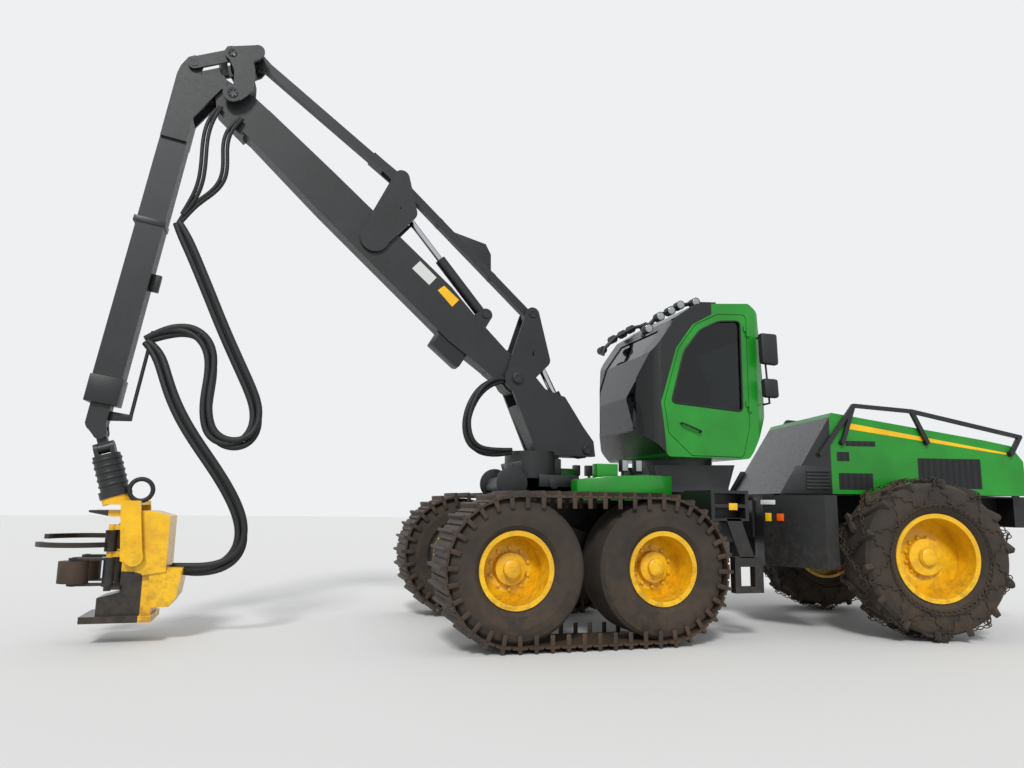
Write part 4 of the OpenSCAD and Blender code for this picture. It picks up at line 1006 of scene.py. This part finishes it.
def makeCraneTrim():
    fin = [outlined(onLine("bar", trim["fin"]), -0.009, 0.009, 0.003)]
    fin += [outlined(onLine("bar", clamp), -0.046, 0.046) for clamp in trim["clamps"]]
    finished(fin, "drawbarFin", "rear_drawbar", smooth=30)
    guard = outlined(onLine("boom", trim["guard"]), -0.096, 0.096, 0.008)
    finished(guard, "boomGuard", "boom", smooth=30)
    sheets = bothSides(onLine("boom", trim["guardSheet"]), 0.0955, 0.099, 0)
    finished(sheets, "boomGuardSheets", "boom", material="perforated_sheet", smooth=0)
    bands = [outlined(onLine("stick", band), -half, half) for band, half in trim["bands"]]
    finished(bands, "stickBands", "stick", smooth=30)
    (ax, az), (bx, bz) = onLine("stick", trim["arm"])
    arm = [roundBar([(ax, 0, az), (bx, 0, bz)], 0.018),
           outlined(onLine("stick", trim["armEnd"]), -0.02, 0.02)]
    finished(arm, "hoseArm", "extension")
    pinX, pinZ = rotator["pin"]
    hang = Matrix.Translation((pinX, 0, pinZ)) @ Matrix.Rotation(rotator["lean"], 4, "Y")
    rib = cylinder(48, rotator["radius"], rotator["thick"])
    bevelled(rib, 0.005, limit_method="ANGLE")
    drops = [-rotator["first"] - rotator["pitch"] * i for i in range(rotator["ribs"])]
    ribs = copies(rib, [hang @ Matrix.Translation((0, 0, drop)) for drop in drops])
    finished(ribs, "rotatorRibs", "rotator")
    ring = startPiece("torus", major_radius=hoseRing["radius"], minor_radius=hoseRing["wire"],
                      major_segments=40, minor_segments=12, location=hoseRing["place"],
                      rotation=(math.pi / 2, 0, 0))
    finished(ring, "hoseRing", "yoke", material="hose_rubber", smooth=80)


# Lamp rails on the roof's edges and the mirrors behind the doors.
rail = {"y": 0.575, "thick": 0.024, "front": (-0.99, 3.25), "over": 0.008,
        "rear": [(-1.93, 3.73), (-1.93, 3.66)]}
mirrors = {
    "bracket": [(-2.42, 0.77, 2.52), (-2.42, 0.887, 2.52), (-2.36, 0.887, 3.3), (-2.36, 0.77, 3.3)],
    "thick": 0.013,
    "glasses": [[(-2.53, 2.96), (-2.31, 2.97), (-2.3, 3.33), (-2.52, 3.33)],
                [(-2.52, 2.58), (-2.33, 2.58), (-2.32, 2.8), (-2.51, 2.8)]],
    "y": (0.86, 0.95),
}


def makeCabFittings():
    line = [rail["front"]] + [(x, z + rail["over"]) for x, z in roofLamps["places"]] + rail["rear"]
    parts = []
    for side in bothWays:
        parts.append(roundBar([(x, side * rail["y"], z) for x, z in line], rail["thick"]))
        bracket = [(x, side * y, z) for x, y, z in mirrors["bracket"]]
        parts.append(roundBar(bracket, mirrors["thick"]))
    for x, z in roofLamps["places"]:
        parts += bothDiscs(x, z, 0.05, 0.585, roofLamps["face"])
    for outline in mirrors["glasses"]:
        parts += bothSides(outline, *mirrors["y"], 0.03)
    finished(parts, "cabFittings", "cab", material="moulded_plastic")


# Louvred intakes in front of the hood.
louvres = {"face": [(-2.665, 1.5), (-2.855, 1.812), (-3.09, 1.812), (-3.262, 1.79), (-3.262, 1.5)],
           "faceY": (0.838, 0.846), "count": 6, "first": 1.552, "pitch": 0.038, "high": 0.02,
           "x": (-3.24, -2.965), "y": (0.845, 0.862)}


def makeLouvres():
    (back, front), (inner, outer) = louvres["x"], louvres["y"]
    parts = bothSides(louvres["face"], *louvres["faceY"], 0.002)
    for i in range(louvres["count"]):
        low = louvres["first"] + louvres["pitch"] * i
        parts += bothBlocks((back, inner, low), (front, outer, low + louvres["high"]), 0.003)
    finished(parts, "louvres", "rear_unit", unit=rearUnit, smooth=30)


# Rear tyres: a carcass with two rows of slanted lugs under the chains.
rearTyre = {"carcass": 0.777, "outer": 0.822, "width": 0.6, "rim": 0.457, "bead": (0.429, 0.06),
            "lugs": 14, "slant": math.radians(33), "lugWidth": 0.062, "lugRoot": 0.045,
            "shoulder": 0.014, "steps": 96}


def makeRearTyres():
    r, rim, half = rearTyre["carcass"], rearTyre["rim"], rearTyre["width"] / 2
    (bead, beadIn), steps = rearTyre["bead"], rearTyre["steps"]
    out = [(rim + 0.006, half - beadIn), (rim + 0.05, half - rearTyre["shoulder"]),
           ((r + rim) / 2, half), (r - 0.095, half - 0.008), (r - 0.034, half - 0.026),
           (r, half - 0.062)]
    section = [(bead, beadIn - half)] + [(x, -y) for x, y in out]
    section += out[::-1] + [(bead, half - beadIn)]
    slant, high = rearTyre["slant"], rearTyre["outer"] - r
    long = (half - rearTyre["shoulder"]) / math.cos(slant)
    reach = long / 2 * math.sin(slant) + rearTyre["lugWidth"] / 2
    thick = high + rearTyre["lugRoot"]
    middle = math.sqrt(rearTyre["outer"] ** 2 - reach ** 2) - thick / 2
    for side, word in sides:
        carcass = startPiece("circle", vertices=len(section), fill_type="NOTHING")
        for vertex, (x, y) in zip(carcass.data.vertices, section):
            vertex.co = (x, y, 0)
        useModifier(carcass, "SCREW", axis="Y", steps=steps, render_steps=steps,
                    use_merge_vertices=True, use_normal_calculate=True)
        lug = bevelled(cuboid((rearTyre["lugWidth"], long, thick)), 0.01)
        places = []
        for row in (0, 1):
            lean = (Matrix.Translation((0, (0.5 - row) * half, middle))
                    @ Matrix.Rotation(slant * (1 - 2 * row), 4, "Z"))
            for i in range(rearTyre["lugs"]):
                turn = (i + row / 2) * math.tau / rearTyre["lugs"]
                places.append(Matrix.Rotation(turn, 4, "Y") @ lean)
        tyre = joined([carcass] + copies(lug, places))
        tyre.matrix_world = rearCentre(side) @ tyre.matrix_world
        finished(tyre, "rearTyre" + word.title(), "rear_wheel_" + word, "tyre", rearUnit, smooth=30)
        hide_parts("rear_tyre_" + word)


# Tabs at the ends of the track plates, which reach in over the tyres' shoulders.
trackRun = {"base": 1.5, "radius": 0.665, "plates": 46, "height": 0.735, "middle": bogieAxles["y"],
            "reach": 0.095, "out": 0.02, "long": 0.045, "faces": (0.304, 0.322), "phase": 0.5}


def runPlace(t):
    base, r = trackRun["base"], trackRun["radius"]
    lower, along = divmod(t, base + math.pi * r)
    turn = max(0, along - base) / r
    out = Vector((-math.sin(turn), 0, math.cos(turn)))
    point = Vector((base / 2 - min(along, base), 0, 0)) + out * r
    return (-point, -out) if lower else (point, out)


def makeTrackTabs():
    (low, high), half = trackRun["faces"], trackRun["long"] / 2
    length = 2 * trackRun["base"] + math.tau * trackRun["radius"]
    tab = block((-half, low, -trackRun["reach"]), (half, high, trackRun["out"]))
    places = []
    for side in bothWays:
        for inward in (0, -low - high):
            y = side * trackRun["middle"] + inward
            for i in range(trackRun["plates"]):
                point, out = runPlace((i + trackRun["phase"]) * length / trackRun["plates"])
                shift = Matrix.Translation((point.x, y, point.z + trackRun["height"]))
                places.append(shift @ Matrix.Rotation(math.atan2(out.x, out.z), 4, "Y"))
    finished(copies(tab, places), "trackTabs", "front_unit", "track_steel", frontUnit, smooth=30)


# Floor, light and backdrop
studio = {"floorSize": 120, "floor": "#d8d8d6", "sky": "#eef0f2", "skyStrength": 0.75, "sun": 2.2,
          "sunTurn": (48, 8, 150), "sunAngle": 12}


def makeStudio():
    floor = startPiece("circle", vertices=96, radius=studio["floorSize"] / 2, fill_type="NGON")
    floor.name = "floor"
    material, tree, shader, place = newMaterial("pale studio floor", Roughness=0.8)
    shader.inputs["Base Color"].default_value = colour(studio["floor"])
    floor.data.materials.append(material)
    world = bpy.data.worlds.new("studio")
    bpy.context.scene.world = world
    world.use_nodes = True
    tree = world.node_tree
    tree.nodes.clear()
    sky = colour(studio["sky"])
    soft = addNode(tree, "Background", {"Color": sky, "Strength": studio["skyStrength"]})
    shown = addNode(tree, "Background", {"Color": sky, "Strength": 1})
    rays = addNode(tree, "LightPath").node.outputs
    inputs = {0: rays["Is Camera Ray"], 1: rays["Is Glossy Ray"]}
    seen = addNode(tree, "Math", inputs, operation="MAXIMUM")
    inputs = {0: seen, 1: rays["Is Transmission Ray"]}
    through = addNode(tree, "Math", inputs, operation="MAXIMUM")
    backdrop = addNode(tree, "MixShader", {0: through, 1: soft, 2: shown})
    addNode(tree, "OutputWorld", {"Surface": backdrop})
    light = bpy.data.lights.new("sun", "SUN")
    light.energy = studio["sun"]
    light.angle = math.radians(studio["sunAngle"])
    lamp = linked(bpy.data.objects.new("sun", light))
    lamp.rotation_euler = [math.radians(angle) for angle in studio["sunTurn"]]


stages = (makeHoses, makeWheelNuts, makeChains, makeLamps, makePlates, makeSeals, makeSeat,
          makeGrilleSheets, makeDoorHandle, makePinCovers, makeTags, makeCovers, makeLadder,
          makeCraneBase, makeCraneTrim, makeCabFittings, makeLouvres, makeRearTyres, makeTrackTabs,
          makeStudio)
for stage in stages:
    stage()
    print(stage.__name__, "done")
bpy.context.scene.view_settings.view_transform = "Standard"
